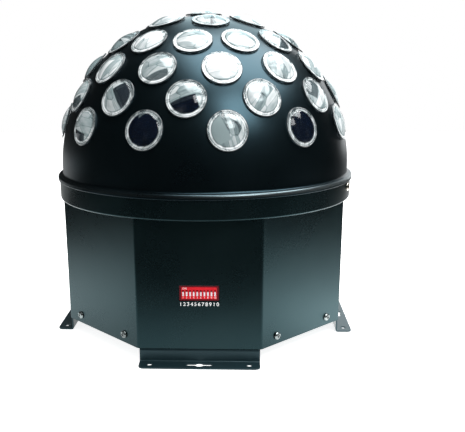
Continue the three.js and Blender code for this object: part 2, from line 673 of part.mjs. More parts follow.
// The deck's and the lamp's heights are measured from the top of the deck
function deck() {
  const plate = raised(outline(octagon(FITTED_APOTHEM)), -SHEET, 0);
  const drill = (x, y, radius, sides) => post(x, y, radius, -SHEET - OVERRUN, OVERRUN, sides);
  const vents = times(VENT_COUNT, (i) => {
    const angle = (i / VENT_COUNT) * 2 * Math.PI;
    return drill(VENT_CIRCLE * Math.cos(angle), VENT_CIRCLE * Math.sin(angle), VENT_RADIUS);
  });
  return mesh('top_deck', cut(plate, vents, drill(0, 0, MOTOR_BOSS_RADIUS + GAP, ROUND_SIDES)), housingGrey);
}

function motor() {
  const half = MOTOR_SIZE / 2;
  const body = block([-half, -half, -SHEET - MOTOR_HEIGHT], [half, half, -SHEET]);
  const bossTop = MOTOR_BOSS_HEIGHT - SHEET;
  const boss = post(0, 0, MOTOR_BOSS_RADIUS, -SHEET - MOTOR_HEIGHT / 2, bossTop, ROUND_SIDES);
  const seat = post(0, 0, SHAFT_RADIUS + GAP, SHAFT_FOOT - GAP, bossTop + OVERRUN);
  return mesh('drive_motor', cut(join(body, boss), seat), plasticBlack);
}

function heatSink() {
  const plate = post(0, 0, SINK_RADIUS, SINK_HEIGHT - SINK_PLATE, SINK_HEIGHT, DOME_SIDES);
  const hub = post(0, 0, SINK_BORE + SINK_HUB_WALL, 0, SINK_HEIGHT, ROUND_SIDES);
  const inner = SINK_BORE + SINK_HUB_WALL / 2;
  const outer = SINK_RADIUS - FIN_INSET;
  const height = SINK_HEIGHT - SINK_PLATE / 2;
  const fin = new THREE.BoxGeometry(outer - inner, FIN_SHEET, height)
    .translate((inner + outer) / 2, 0, height / 2);
  const fins = times(FIN_COUNT, (i) => solid(fin.clone().rotateZ((i / FIN_COUNT) * 2 * Math.PI)));
  const bore = post(0, 0, SINK_BORE, -OVERRUN, SINK_HEIGHT + OVERRUN, ROUND_SIDES);
  return mesh('heat_sink', cut(join(plate, hub, fins), bore), sinkBlack);
}

function ledBoard() {
  const board = cut(
    post(0, 0, SINK_RADIUS, SINK_HEIGHT, SINK_HEIGHT + BOARD_SHEET, DOME_SIDES),
    post(0, 0, SINK_BORE, SINK_HEIGHT - OVERRUN, SINK_HEIGHT + BOARD_SHEET + OVERRUN, ROUND_SIDES),
  );
  const emitters = times(LED_COUNT, (i) => {
    const angle = (i / LED_COUNT) * 2 * Math.PI;
    const x = LED_CIRCLE * Math.cos(angle);
    const y = LED_CIRCLE * Math.sin(angle);
    const baseTop = SINK_HEIGHT + BOARD_SHEET + LED_BASE_HEIGHT;
    return join(
      post(x, y, LED_BASE_RADIUS, SINK_HEIGHT + BOARD_SHEET / 2, baseTop),
      post(x, y, LED_RADIUS, baseTop - LED_BASE_HEIGHT / 2, baseTop + LED_HEIGHT),
    );
  });
  return mesh('led_board', join(board, emitters), boardWhite);
}

// The bowl and its hub, measured from the centre of the dome's ball
function bowl() {
  const shell = turnedFlat([
    ...quarter(BOWL_RADIUS - BOWL_WALL, BOWL_ROWS).reverse(),
    [BOWL_RADIUS - BOWL_WALL, -BOWL_RIM],
    [BOWL_RADIUS, -BOWL_RIM],
    ...quarter(BOWL_RADIUS, BOWL_ROWS),
  ], ROUND_SIDES);
  const drill = wallDrill(BOWL_HOLE_RADIUS, BOWL_RADIUS, SMALL_SIDES);
  const holes = BOWL_ROWS.flatMap(ringPlaces)
    .map(({ azimuth, elevation }) => solid(aimed(drill, azimuth, elevation)));
  const roof = BOWL_RADIUS - BOWL_WALL;
  const hub = post(0, 0, BOWL_HUB_RADIUS, roof - BOWL_HUB_HEIGHT, roof + BOWL_WALL / 2 - GAP);
  const seat = post(0, 0, SHAFT_RADIUS + GAP, roof - BOWL_HUB_HEIGHT - OVERRUN, roof - BOWL_HUB_ROOF + GAP);
  return mesh('gobo_bowl', cut(join(cut(shell, holes), hub), seat), aluminium);
}

function fanFrame() {
  const half = FAN_SIZE / 2;
  const arm = FAN_ARM_WIDTH / 2;
  const bore = post(0, 0, FAN_BORE, -OVERRUN, FAN_HEIGHT + OVERRUN, DOME_SIDES);
  const spider = [
    post(0, 0, FAN_HUB_RADIUS, 0, FAN_SPIDER, ROUND_SIDES),
    block([-half, -arm, 0], [half, arm, FAN_SPIDER]),
    block([-arm, -half, 0], [arm, half, FAN_SPIDER]),
  ];
  const body = cut(block([-half, -half, 0], [half, half, FAN_HEIGHT]), bore);
  return mesh('fan_frame', join(body, spider), plasticBlack);
}

function fanRotor() {
  const tip = FAN_BORE - FAN_TIP_GAP;
  const low = FAN_SPIDER + GAP;
  const high = FAN_HEIGHT - GAP;
  const root = FAN_HUB_RADIUS / 2;
  const blade = new THREE.BoxGeometry(tip - root, FAN_BLADE_CHORD, FAN_BLADE_SHEET)
    .rotateX(radians(FAN_BLADE_TILT))
    .translate((root + tip) / 2, 0, (low + high) / 2);
  const sweep = post(0, 0, tip, low, high, DOME_SIDES);
  const blades = times(FAN_BLADES, (i) =>
    solid(blade.clone().rotateZ((i / FAN_BLADES) * 2 * Math.PI)).intersect(sweep));
  return mesh('fan_rotor', join(post(0, 0, FAN_HUB_RADIUS, low, high, ROUND_SIDES), blades), plasticBlack);
}

// The supply's board and what stands on it, measured from the board's underside
function powerSupply() {
  const board = block(
    [-SUPPLY_WIDTH / 2, -SUPPLY_LENGTH / 2, 0],
    [SUPPLY_WIDTH / 2, SUPPLY_LENGTH / 2, BOARD_SHEET],
  );
  const standing = (y, width, length, height) => block(
    [-width / 2, y - length / 2, BOARD_SHEET],
    [width / 2, y + length / 2, BOARD_SHEET + height],
  );
  const core = standing(TRANSFORMER_Y, CORE_WIDTH, CORE_LENGTH, CORE_HEIGHT);
  const bobbinWidth = CORE_WIDTH - 2 * BOBBIN_INSET;
  const bobbin = standing(TRANSFORMER_Y, bobbinWidth, BOBBIN_LENGTH, CORE_HEIGHT - BOBBIN_INSET);
  const canTop = BOARD_SHEET + CAPACITOR_HEIGHT;
  const can = post(0, CAPACITOR_Y, CAPACITOR_RADIUS, BOARD_SHEET, canTop, ROUND_SIDES);
  return [
    mesh('supply_board', board, boardGreen),
    mesh('transformer', join(core, bobbin), steel),
    mesh('smoothing_capacitor', can, plasticBlack),
  ];
}

// The switch, its levers and its board, measured from the middle of the front panel's window
function switchBank() {
  const face = SWITCH_RECESS;
  const body = block(
    [-SWITCH_WIDTH / 2, face, -SWITCH_HEIGHT / 2],
    [SWITCH_WIDTH / 2, STUD_REACH, SWITCH_HEIGHT / 2],
  );
  const places = times(SWITCH_COUNT, (i) => (i - (SWITCH_COUNT - 1) / 2) * SWITCH_PITCH);
  const slotHalf = LEVER_WIDTH / 2 + LEVER_GAP;
  const slots = places.map((x) => block(
    [x - slotHalf, face - OVERRUN, -SLOT_HEIGHT / 2],
    [x + slotHalf, face + SLOT_DEPTH, SLOT_HEIGHT / 2],
  ));
  const lever = mesh('', block(
    [-LEVER_WIDTH / 2, face - LEVER_PROUD, -LEVER_HEIGHT / 2],
    [LEVER_WIDTH / 2, face + SLOT_DEPTH - LEVER_GAP, LEVER_HEIGHT / 2],
  ), leverWhite);
  const down = -LEVER_TRAVEL / 2; // every lever rests down
  const levers = places.map((x, i) => frame(x, 0, down, twin(lever, `switch_lever_${i + 1}`)));
  const board = block(
    [-CONTROL_BOARD_WIDTH / 2, STUD_REACH, -CONTROL_BOARD_HEIGHT / 2],
    [CONTROL_BOARD_WIDTH / 2, STUD_REACH + BOARD_SHEET, CONTROL_BOARD_HEIGHT / 2],
  );
  return [
    mesh('switch_body', cut(body, slots), switchRed),
    ...levers,
    mesh('control_board', board, boardGreen),
  ];
}

// Pieces on the rear face are measured from the housing's outer face, with +Y out of the housing
function signalBody() {
  const plate = block(
    [-SIGNAL_PLATE_WIDTH / 2, 0, -SIGNAL_PLATE_HEIGHT / 2],
    [SIGNAL_PLATE_WIDTH / 2, SIGNAL_PLATE, SIGNAL_PLATE_HEIGHT / 2],
  );
  return join(plate, barAlongY(0, 0, BARREL_RADIUS, -BARREL_DEPTH, SIGNAL_PLATE / 2, ROUND_SIDES));
}

// Bars for the pins of one socket, or for the contact holes of the other
const contacts = (near, far) => times(PIN_COUNT, (i) => {
  const angle = (i / PIN_COUNT) * 2 * Math.PI - Math.PI / 2;
  return barAlongY(PIN_CIRCLE * Math.cos(angle), PIN_CIRCLE * Math.sin(angle), PIN_RADIUS, near, far);
});

function signalInSocket() {
  const floor = SIGNAL_PLATE - CAVITY_DEPTH;
  const cavity = barAlongY(0, 0, CAVITY_RADIUS, floor, SIGNAL_PLATE + OVERRUN, ROUND_SIDES);
  const pins = contacts((floor - BARREL_DEPTH) / 2, floor + PIN_LENGTH);
  return mesh('signal_in_socket', join(cut(signalBody(), cavity), pins), plasticBlack);
}

function signalOutSocket() {
  const floor = SIGNAL_PLATE - MOAT_DEPTH;
  const bore = barAlongY(0, 0, MOAT_RADIUS, floor, SIGNAL_PLATE + OVERRUN, ROUND_SIDES);
  const coreRoot = (floor - BARREL_DEPTH) / 2;
  const coreFace = SIGNAL_PLATE - CORE_RECESS;
  const core = barAlongY(0, 0, MOAT_RADIUS - MOAT_WIDTH, coreRoot, coreFace, ROUND_SIDES);
  const latchInner = SIGNAL_PLATE + LATCH_PROUD - LATCH_LENGTH;
  const latchWell = block(
    [-LATCH_WIDTH / 2 - GAP, latchInner - LATCH_TRAVEL - GAP, LATCH_RISE - LATCH_THICKNESS / 2 - GAP],
    [LATCH_WIDTH / 2 + GAP, SIGNAL_PLATE + OVERRUN, LATCH_RISE + LATCH_THICKNESS / 2 + GAP],
  );
  const body = join(cut(signalBody(), bore), core);
  const socket = cut(body, contacts(floor, SIGNAL_PLATE + OVERRUN), latchWell);
  const latch = block(
    [-LATCH_WIDTH / 2, latchInner, LATCH_RISE - LATCH_THICKNESS / 2],
    [LATCH_WIDTH / 2, SIGNAL_PLATE + LATCH_PROUD, LATCH_RISE + LATCH_THICKNESS / 2],
  );
  return [mesh('signal_out_socket', socket, plasticBlack), mesh('signal_out_latch', latch, steel)];
}

function powerInlet() {
  const halfWidth = INLET_PLATE_WIDTH / 2;
  const halfHeight = INLET_PLATE_HEIGHT / 2;
  const plate = block([-halfWidth, 0, -halfHeight], [halfWidth, INLET_PLATE, halfHeight]);
  const body = block(
    [-halfWidth + INLET_MARGIN, -INLET_DEPTH, -halfHeight + INLET_MARGIN],
    [halfWidth - INLET_MARGIN, INLET_PLATE / 2, halfHeight - INLET_MARGIN],
  );
  const floor = INLET_PLATE - INLET_CAVITY_DEPTH;
  const cavity = block(
    [-INLET_CAVITY_WIDTH / 2, floor, INLET_CAVITY_RISE - INLET_CAVITY_HEIGHT / 2],
    [INLET_CAVITY_WIDTH / 2, INLET_PLATE + OVERRUN, INLET_CAVITY_RISE + INLET_CAVITY_HEIGHT / 2],
  );
  const blade = (x, rise) => block(
    [x - BLADE_WIDTH / 2, (floor - INLET_DEPTH) / 2, INLET_CAVITY_RISE + rise - BLADE_HEIGHT / 2],
    [x + BLADE_WIDTH / 2, floor + BLADE_LENGTH, INLET_CAVITY_RISE + rise + BLADE_HEIGHT / 2],
  );
  const blades = [blade(-BLADE_SPREAD, -LIVE_DROP), blade(0, EARTH_RISE), blade(BLADE_SPREAD, -LIVE_DROP)];
  const drawerEnd = INLET_PLATE - DRAWER_LENGTH;
  const channel = block(
    [-DRAWER_WIDTH / 2 - GAP, drawerEnd - GAP, -DRAWER_DROP - DRAWER_HEIGHT / 2 - GAP],
    [DRAWER_WIDTH / 2 + GAP, INLET_PLATE + OVERRUN, -DRAWER_DROP + DRAWER_HEIGHT / 2 + GAP],
  );
  const drawer = block(
    [-DRAWER_WIDTH / 2, drawerEnd, -DRAWER_DROP - DRAWER_HEIGHT / 2],
    [DRAWER_WIDTH / 2, INLET_PLATE + DRAWER_LIP, -DRAWER_DROP + DRAWER_HEIGHT / 2],
  );
  return [
    mesh('power_inlet', join(cut(join(plate, body), cavity, channel), blades), plasticBlack),
    mesh('fuse_drawer', drawer, plasticBlack),
  ];
}

function rockerFrame() {
  const halfWidth = ROCKER_PLATE_WIDTH / 2;
  const halfHeight = ROCKER_PLATE_HEIGHT / 2;
  const wellFloor = ROCKER_PLATE - ROCKER_WELL;
  const plate = block([-halfWidth, 0, -halfHeight], [halfWidth, ROCKER_PLATE, halfHeight]);
  const body = block(
    [-halfWidth + ROCKER_MARGIN, wellFloor - ROCKER_FLOOR, -halfHeight + ROCKER_MARGIN],
    [halfWidth - ROCKER_MARGIN, ROCKER_PLATE / 2, halfHeight - ROCKER_MARGIN],
  );
  const well = block(
    [-WELL_WIDTH / 2, wellFloor, -WELL_LENGTH / 2],
    [WELL_WIDTH / 2, ROCKER_PLATE + OVERRUN, WELL_LENGTH / 2],
  );
  return mesh('rocker_frame', cut(join(plate, body), well), plasticBlack);
}

// The rocker's section is drawn with Y out of the housing and the length along X, then stood upright
function rocker() {
  const half = ROCKER_LENGTH / 2;
  const section = outline([
    [-half, -ROCKER_DEPTH],
    [half, -ROCKER_DEPTH],
    [half, ROCKER_PROUD],
    [0, ROCKER_PROUD - ROCKER_DIP],
    [-half, ROCKER_PROUD],
  ]);
  const piece = raised(section, -ROCKER_WIDTH / 2, ROCKER_WIDTH / 2);
  const made = mesh('rocker', piece, plasticBlack);
  made.rotation.y = Math.PI / 2;
  const tilted = frame(0, -ROCKER_PIVOT_INSET, 0, made);
  tilted.rotation.x = radians(ROCKER_TILT);
  return tilted;
}

function microphone() {
  const capsule = barAlongY(0, 0, MICROPHONE_RADIUS, -MICROPHONE_LENGTH, 0, ROUND_SIDES);
  return frame(0, -SHEET - GAP, 0, mesh('microphone', capsule, steel));
}

const upperWorks = turnedFrame(radians(DOME_TURN),
  collar(),
  collarScrews(),
  frame(0, 0, COLLAR_HEIGHT + BALL_OVER_COLLAR, domeShell(), lenses(), bowl()));

const lamp = [
  deck(),
  motor(),
  mesh('motor_shaft', post(0, 0, SHAFT_RADIUS, SHAFT_FOOT, SHAFT_TOP), steel),
  heatSink(),
  ledBoard(),
];

const rearFace = frame(0, HOUSING_APOTHEM, 0,
  frame(SIGNAL_X, 0, SIGNAL_HEIGHT, signalInSocket()),
  frame(-SIGNAL_X, 0, SIGNAL_HEIGHT, signalOutSocket()),
  frame(INLET_X, 0, INLET_HEIGHT, powerInlet()),
  frame(ROCKER_X, 0, ROCKER_HEIGHT, rockerFrame(), rocker()),
  frame(MICROPHONE_X, 0, MICROPHONE_HEIGHT, microphone()));

const housing = frame(0, 0, FOOT_HEIGHT,
  frontCover(),
  rearHousing(),
  tray(),
  coverScrews(),
  frame(0, -HOUSING_APOTHEM, SWITCH_CENTRE_HEIGHT, switchBank()),
  frame(0, 0, TRAY_SHEET, fanFrame(), fanRotor()),
  frame(SUPPLY_X, 0, TRAY_SHEET + SUPPLY_STUD_HEIGHT, powerSupply()),
  rearFace,
  frame(0, 0, HOUSING_HEIGHT, lamp, upperWorks));

const light = new THREE.Group();
light.add(housing, ...feet());

export default light;
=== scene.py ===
# %% [markdown]
# # A magic ball light
#
# This light stands on a stage or a shelf. A bowl with holes turns over a ring of LEDs, and a black
# dome full of clear lenses throws its light across the room. The dome sits in a shallow collar on an
# eight-sided housing of folded steel, and the housing stands on four bracket feet. A red ten-way
# switch in the front panel sets the light's address.
#
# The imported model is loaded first. It gives the solids that move, and the bodies that the finer
# pieces made here ride on. Everything is in metres: Z is up and -Y is the front.

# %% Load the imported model
import math
import random

import bmesh
import bpy
from mathutils import Matrix, Vector


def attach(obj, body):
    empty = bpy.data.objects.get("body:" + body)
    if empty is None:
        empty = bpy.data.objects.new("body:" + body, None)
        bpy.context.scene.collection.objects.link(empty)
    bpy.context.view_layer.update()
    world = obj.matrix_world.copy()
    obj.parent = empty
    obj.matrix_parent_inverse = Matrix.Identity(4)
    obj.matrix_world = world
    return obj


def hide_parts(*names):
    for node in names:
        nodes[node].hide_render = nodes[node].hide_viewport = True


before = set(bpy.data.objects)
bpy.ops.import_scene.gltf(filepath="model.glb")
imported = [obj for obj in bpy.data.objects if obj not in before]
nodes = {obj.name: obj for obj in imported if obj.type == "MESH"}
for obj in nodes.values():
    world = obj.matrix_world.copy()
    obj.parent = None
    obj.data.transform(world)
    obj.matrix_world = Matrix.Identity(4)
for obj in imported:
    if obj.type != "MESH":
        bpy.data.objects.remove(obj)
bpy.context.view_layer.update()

MM = 0.001

# %% [markdown]
# ## The camera
#
# The picture was taken from a little over half a metre away, from the height of the dome, and looks
# down by some 15 degrees. Those numbers come from the places of the bead, the housing's corners, the
# feet and the lenses in the picture, so the camera is set by numbers and not by eye.

# %% The camera
PICTURE = (465, 432)  # pixels
FOCAL = 717.97  # pixels
CENTRE = (205.6, 256.38)  # where the lens axis meets the picture
YAW, PITCH, ROLL = -0.045, 0.268, -0.007  # radians
STAND = (26.8, -595.3, 214.8)  # where the camera stood, in mm

camera = bpy.data.objects.new("camera", bpy.data.cameras.new("camera"))
bpy.context.scene.collection.objects.link(camera)
camera.data.sensor_width = 36
camera.data.lens = FOCAL / PICTURE[0] * camera.data.sensor_width
camera.data.shift_x = 0.5 - CENTRE[0] / PICTURE[0]
camera.data.shift_y = (CENTRE[1] - PICTURE[1] / 2) / PICTURE[0]
camera.location = Vector(STAND) * MM
camera.rotation_euler = (
    Matrix.Rotation(-YAW, 3, "Z")
    @ Matrix.Rotation(math.pi / 2 - PITCH, 3, "X")
    @ Matrix.Rotation(ROLL, 3, "Z")
).to_euler()
bpy.context.scene.camera = camera
print("focal length in mm", round(camera.data.lens, 2))

# %% [markdown]
# ## Node trees written as Python
#
# Every finish and every repeated piece below is a tree of nodes. Adding nodes one by one takes many
# lines, so a node's output is wrapped in a small class that Python can add, multiply and subtract.
# One more method makes any other node from its type, its inputs and its settings.

# %% A node's output as a value
class Value:
    """A node's output. Arithmetic on it adds Math nodes to the tree."""

    def __init__(self, graph, socket):
        self.graph = graph
        self.socket = socket

    def part(self, name):
        """Another output of the same node."""
        return Value(self.graph, self.socket.node.outputs[name])

    def __add__(self, other):
        return self.graph.maths("ADD", self, other)

    def __sub__(self, other):
        return self.graph.maths("SUBTRACT", self, other)

    def __rsub__(self, other):
        return self.graph.maths("SUBTRACT", other, self)

    def __mul__(self, other):
        return self.graph.maths("MULTIPLY", self, other)

    __radd__ = __add__
    __rmul__ = __mul__


class Graph:
    """A node tree that is filled by calls."""

    def __init__(self, tree):
        self.tree = tree

    def feed(self, socket, value):
        """Links a socket to a node's output, or sets it to a plain value."""
        if isinstance(value, Value):
            self.tree.links.new(value.socket, socket)
        else:
            socket.default_value = value

    def add(self, kind, inputs=None, output=0, **settings):
        """A node from its type, its inputs and its settings. What comes back is one of its outputs."""
        node = self.tree.nodes.new(kind)
        for name, value in settings.items():
            setattr(node, name, value)
        for name, value in (inputs or {}).items():
            self.feed(node.inputs[name], value)
        return Value(self, node.outputs[output])

    def maths(self, operation, *values):
        return self.add("ShaderNodeMath", dict(enumerate(values)), operation=operation)

    def measure(self, operation, *vectors):
        """A number worked out from vectors."""
        return self.add("ShaderNodeVectorMath", dict(enumerate(vectors)), "Value", operation=operation)


print("helpers:", Value.__name__, Graph.__name__)

# %% [markdown]
# ## What the finishes have in common
#
# Real paint and plastic are never one flat colour. Three things recur here: a slow drift in tone, a
# fine grain that breaks up highlights, and edges where the finish is thin or rubbed. The patterns
# read Object coordinates, so their scale is in real millimetres on every piece.

# %% Patterns that the finishes share
def where(graph):
    return graph.add("ShaderNodeTexCoord").part("Object")


def axis_of(vector, axis):
    return vector.graph.add("ShaderNodeSeparateXYZ", {"Vector": vector}).part(axis)


def noise(graph, size_mm, detail, stretch=(1, 1, 1)):
    """Soft noise with features of about this size, from 0 to 1."""
    stretched = graph.add("ShaderNodeMapping", {"Vector": where(graph), "Scale": stretch})
    sizes = {"Vector": stretched, "Scale": 1 / (size_mm * MM), "Detail": detail}
    return graph.add("ShaderNodeTexNoise", sizes)


def spread(value, low, high, to_low=0.0, to_high=1.0):
    """Stretches the part of a value between low and high over a new range, and holds it there."""
    ends = {"From Min": low, "From Max": high, "To Min": to_low, "To Max": to_high}
    return value.graph.add("ShaderNodeMapRange", {"Value": value, **ends})


def ridge(value, middle, width):
    """1 where a value is at the middle, falling to 0 at this width to each side."""
    return spread(value.graph.maths("ABSOLUTE", value - middle), 0, width, 1, 0)


def blend(amount, first, second):
    """A colour between two, by an amount from 0 to 1."""
    return amount.graph.add("ShaderNodeMix", {0: amount, 6: first, 7: second}, 2, data_type="RGBA")


def edges(graph, width_mm):
    """1 along the edges of a piece and 0 on its flats."""
    soft = graph.add("ShaderNodeBevel", {"Radius": width_mm * MM}, samples=4)
    flat = graph.add("ShaderNodeNewGeometry").part("Normal")
    return spread(graph.measure("DOT_PRODUCT", soft, flat), 0.995, 0.9)


def bump(height, depth_mm, strength):
    sizes = {"Strength": strength, "Distance": depth_mm * MM, "Height": height}
    return height.graph.add("ShaderNodeBump", sizes)


FINISHES = {}


def finish(name, constants, pattern):
    """A material. constants go on the shader's own sockets, and pattern returns what varies."""
    made = bpy.data.materials.new(name)
    made.use_nodes = True
    graph = Graph(made.node_tree)
    shader = made.node_tree.nodes["Principled BSDF"]
    for socket, value in constants.items():
        shader.inputs[socket].default_value = value
    for socket, value in pattern(graph).items():
        graph.feed(shader.inputs[socket], value)
    FINISHES[name] = made
    print("finish", name, "nodes", len(made.node_tree.nodes))


print("patterns:", ", ".join(f.__name__ for f in (noise, spread, ridge, blend, edges, bump)))

# %% [markdown]
# ## Painted steel
#
# The dome and the housing are sprayed a deep satin black with metal flake in it, so what they reflect
# takes the flake's grey-green tint. The feet have less flake. All have the faint ripple of sprayed
# paint, a slow change in tone, and thinner paint along the folds and cut edges. The dome's bead also
# carries a painted highlight: a pale band along the top of the bead that is strongest on the right.

# %% Paints
# The height of the top of the bead, and half the width of the painted highlight along it, in mm.
BEAD_CREST, BEAD_HIGHLIGHT_WIDTH = 125.2, 1.6


def sprayed(colour, drift, bare, roughness, ripple, wear, with_bead_highlight=False):
    """The pattern of sprayed paint: its tone drifts, it ripples, and it is rubbed at the edges.
    With the bead highlight it also paints a pale band along the top of the bead, paler on the right.
    """

    def pattern(graph):
        tone = noise(graph, 60, 3)
        grain = noise(graph, ripple, 2)
        rubbed = edges(graph, 0.5) * spread(noise(graph, 5, 4), 0.42, 0.68) * wear
        # The bead's painted highlight is a pale band along the top of the bead, strongest towards +X. It is
        # added to the rubbed edges.
        if with_bead_highlight:
            crest_highlight = ridge(axis_of(where(graph), "Z"), BEAD_CREST * MM, BEAD_HIGHLIGHT_WIDTH * MM)
            rubbed = rubbed + crest_highlight * spread(axis_of(where(graph), "X"), -0.02, 0.1, 0.1, 1)
        paint = blend(spread(tone, 0.3, 0.7), colour, drift)
        return {
            "Base Color": blend(rubbed, paint, bare),
            "Roughness": spread(tone + grain * 0.4, 0.4, 1.0, roughness - 0.05, roughness + 0.06),
            "Normal": bump(grain, 0.04, 0.3),
        }

    return pattern


# Paint, drift, and the colour that rubbed edges show. The dome's third colour is paler, because it is also
# the colour of the bead's painted highlight.
dome_black = ((0.025, 0.047, 0.058, 1), (0.031, 0.054, 0.066, 1), (0.40, 0.48, 0.50, 1))
housing_grey = ((0.021, 0.046, 0.052, 1), (0.028, 0.057, 0.063, 1), (0.16, 0.2, 0.2, 1))
foot_grey = ((0.020, 0.047, 0.057, 1), (0.025, 0.054, 0.065, 1), (0.16, 0.2, 0.2, 1))
dome_pattern = sprayed(*dome_black, 0.31, 1.6, 0.12, with_bead_highlight=True)
finish("dome_satin_black", {"Metallic": 0.97, "IOR": 1.45}, dome_pattern)
finish("housing_satin_grey", {"Metallic": 0.93, "IOR": 1.45}, sprayed(*housing_grey, 0.28, 1.2, 0.15))
finish("foot_satin_grey", {"Metallic": 0.5, "IOR": 1.45}, sprayed(*foot_grey, 0.34, 1.2, 0.15))

# %% [markdown]
# ## Clear lenses
#
# Each lens is moulded from clear acrylic. Light bends in it by the acrylic's index. The real lens's
# rim and the facets moulded into its back throw light straight back, and here that is painted in: a
# pattern over the acrylic paints silvery reflections and light, and a painted shadow line round its
# edge. Real facets could be cut, but at this size a painted pattern stays light. Every lens carries two
# attributes: `spot` is the place on it in lens radii, and `look` says how its painted facets are turned,
# where the edge of the painted lit side runs, how bright they are and how bright the rest of the crown is.

# %% Lens acrylic
def silvered(graph):
    """The painted reflections of a lens: how much of it they cover, how bright they are,
    and where the painted shadow line round its edge lies.
    """
    spot = graph.add("ShaderNodeAttribute", attribute_name="spot").part("Vector")
    painted_look = graph.add("ShaderNodeAttribute", attribute_name="look")
    angle, border, bright = (axis_of(painted_look.part("Vector"), axis) for axis in "XYZ")
    turning = {"Vector": spot, "Angle": angle}
    aligned = graph.add("ShaderNodeVectorRotate", turning, rotation_type="Z_AXIS")
    across, along = (axis_of(aligned, axis) for axis in "XY")
    own = bright * 40 + border * 9  # tells the lenses' patterns apart
    cells = graph.add("ShaderNodeCombineXYZ", {"X": across * 2.4, "Y": along * 0.8, "Z": own})
    streaks = graph.add("ShaderNodeTexNoise", {"Vector": cells, "Scale": 2.2, "Detail": 3.0})
    sizes = {"Vector": cells, "Scale": 1.1}
    facet = axis_of(graph.add("ShaderNodeTexVoronoi", sizes, "Color"), "X")
    gap = graph.add("ShaderNodeTexVoronoi", sizes, "Distance", feature="DISTANCE_TO_EDGE")
    seam = spread(gap, 0.01, 0.045, 0.45, 0)

    # Painted light on the crown: a lit side bounded by the look's edge, with a painted glint near its top.
    lit = spread(across + (streaks - 0.5) * 0.06, border + 0.03, border - 0.03)
    glint = spread(along, 0.44, 0.5) * spread(bright, 0.1, 0.5, 0, 0.75)
    lit = graph.maths("MAXIMUM", lit, glint)
    crown = graph.maths("MAXIMUM", lit * bright, 0.75)
    facet_reflection_tone = spread(facet * 0.5 + streaks * 0.5 + bright * 0.7, 0.6, 1.3) * (1 - seam)
    crown_reflection_tone = facet_reflection_tone * lit + painted_look.part("Alpha") * (1 - lit)

    # Painted light on the rim is paler on its lower half and in streaks. side paints a shadow line round the
    # edge, where the lens meets the dome. groove paints two thin dark rings, one of them as shade at the
    # step between crown and rim.
    radius = graph.measure("LENGTH", spot)
    rim = spread(radius, 0.775, 0.80)
    rim_light = spread(streaks, 0.42, 0.58) * 0.6 + spread(axis_of(spot, "Y"), 0.9, -0.7) * 0.45
    ring = rim_light * (0.5 + bright * 0.4) + ridge(radius, 0.85, 0.05) * 0.4
    side = spread(radius, 0.95, 0.975)
    groove = ridge(radius, 0.785, 0.03) * (0.25 + bright * 0.4) + ridge(radius, 0.9, 0.03) * 0.6
    amount = graph.add("ShaderNodeClamp", {"Value": crown * (1 - rim) + rim * ring + side})
    tone = crown_reflection_tone * (1 - rim) + rim * (0.45 + rim_light * 0.55)
    return amount, tone * (1 - groove), side


def moulded_clear(graph):
    haze = noise(graph, 8, 2)
    return {
        "Base Color": blend(spread(haze, 0.35, 0.65), (0.97, 0.99, 1, 1), (0.88, 0.94, 0.96, 1)),
        "Roughness": spread(haze, 0.35, 0.7, 0.01, 0.06),
        "Normal": bump(haze, 0.05, 0.3),
    }


def overlaid(graph, amount, layer):
    """Mixes a second shader over a finish's own, by an amount from 0 to 1."""
    own = Value(graph, graph.tree.nodes["Principled BSDF"].outputs[0])
    mixed = graph.add("ShaderNodeMixShader", {0: amount, 1: own, 2: layer})
    graph.feed(graph.tree.nodes["Material Output"].inputs["Surface"], mixed)


finish("lens_acrylic", {"Transmission Weight": 1.0, "IOR": 1.49}, moulded_clear)
graph = Graph(FINISHES["lens_acrylic"].node_tree)
amount, tone, side = silvered(graph)
# The painted reflections run from the near-black blue of the dark inside, through grey, to near white where
# lamp light is painted in. The painted shadow line at the edge is near black.
dark_reflection_colour = blend(spread(tone, 0, 0.3), (0.001, 0.004, 0.012, 1), (0.26, 0.34, 0.35, 1))
reflection_colour = blend(spread(tone, 0.3, 1), dark_reflection_colour, (0.84, 0.87, 0.88, 1))
painted_reflection_shader = {
    "Base Color": blend(side, reflection_colour, (0.03, 0.04, 0.045, 1)),
    "Metallic": 0.1,
    "Roughness": spread(tone, 0, 1, 0.12, 0.25),
    "Normal": bump(noise(graph, 4, 1), 0.1, 0.4),
}
# The painted reflections are mixed over the clear acrylic.
overlaid(graph, amount, graph.add("ShaderNodeBsdfPrincipled", painted_reflection_shader))
print("nodes with the silver", len(graph.tree.nodes))

# %% [markdown]
# ## Small metal and plastic
#
# Screws, brackets and contacts are bare or blackened metal with fine turning marks. The plastics
# differ in colour and gloss, and all show the slight sink and grain of moulding. One pattern for each
# family and a table of colours give the whole set.

# %% Metals and plastics
def worked_metal(colour, dull, roughness, stretch=(1, 1, 1)):
    """Bare metal with fine marks along one direction and dull patches."""

    def pattern(graph):
        marks = noise(graph, 0.5, 3, stretch)
        patch = noise(graph, 7, 3)
        return {
            "Base Color": blend(spread(patch, 0.35, 0.7), colour, dull),
            "Roughness": spread(marks + patch * 0.5, 0.5, 1.1, roughness - 0.06, roughness + 0.1),
            "Normal": bump(marks, 0.02, 0.4),
        }

    return pattern


def moulded(colour, worn, roughness, grain_mm=0.35, depth_mm=0.02):
    """Moulded plastic: a fine grain, a slight drift in tone and edges rubbed pale."""

    def pattern(graph):
        grain = noise(graph, grain_mm, 2)
        tone = noise(graph, 9, 2)
        rubbed = edges(graph, 0.3) * spread(tone, 0.3, 0.7) * 0.5
        deep = tuple(c * 0.82 for c in colour[:3]) + (1,)
        body = blend(spread(tone, 0.3, 0.7), colour, deep)
        return {
            "Base Color": blend(rubbed, body, worn),
            "Roughness": spread(grain + tone * 0.5, 0.5, 1.1, roughness - 0.05, roughness + 0.08),
            "Normal": bump(grain, depth_mm, 0.4),
        }

    return pattern


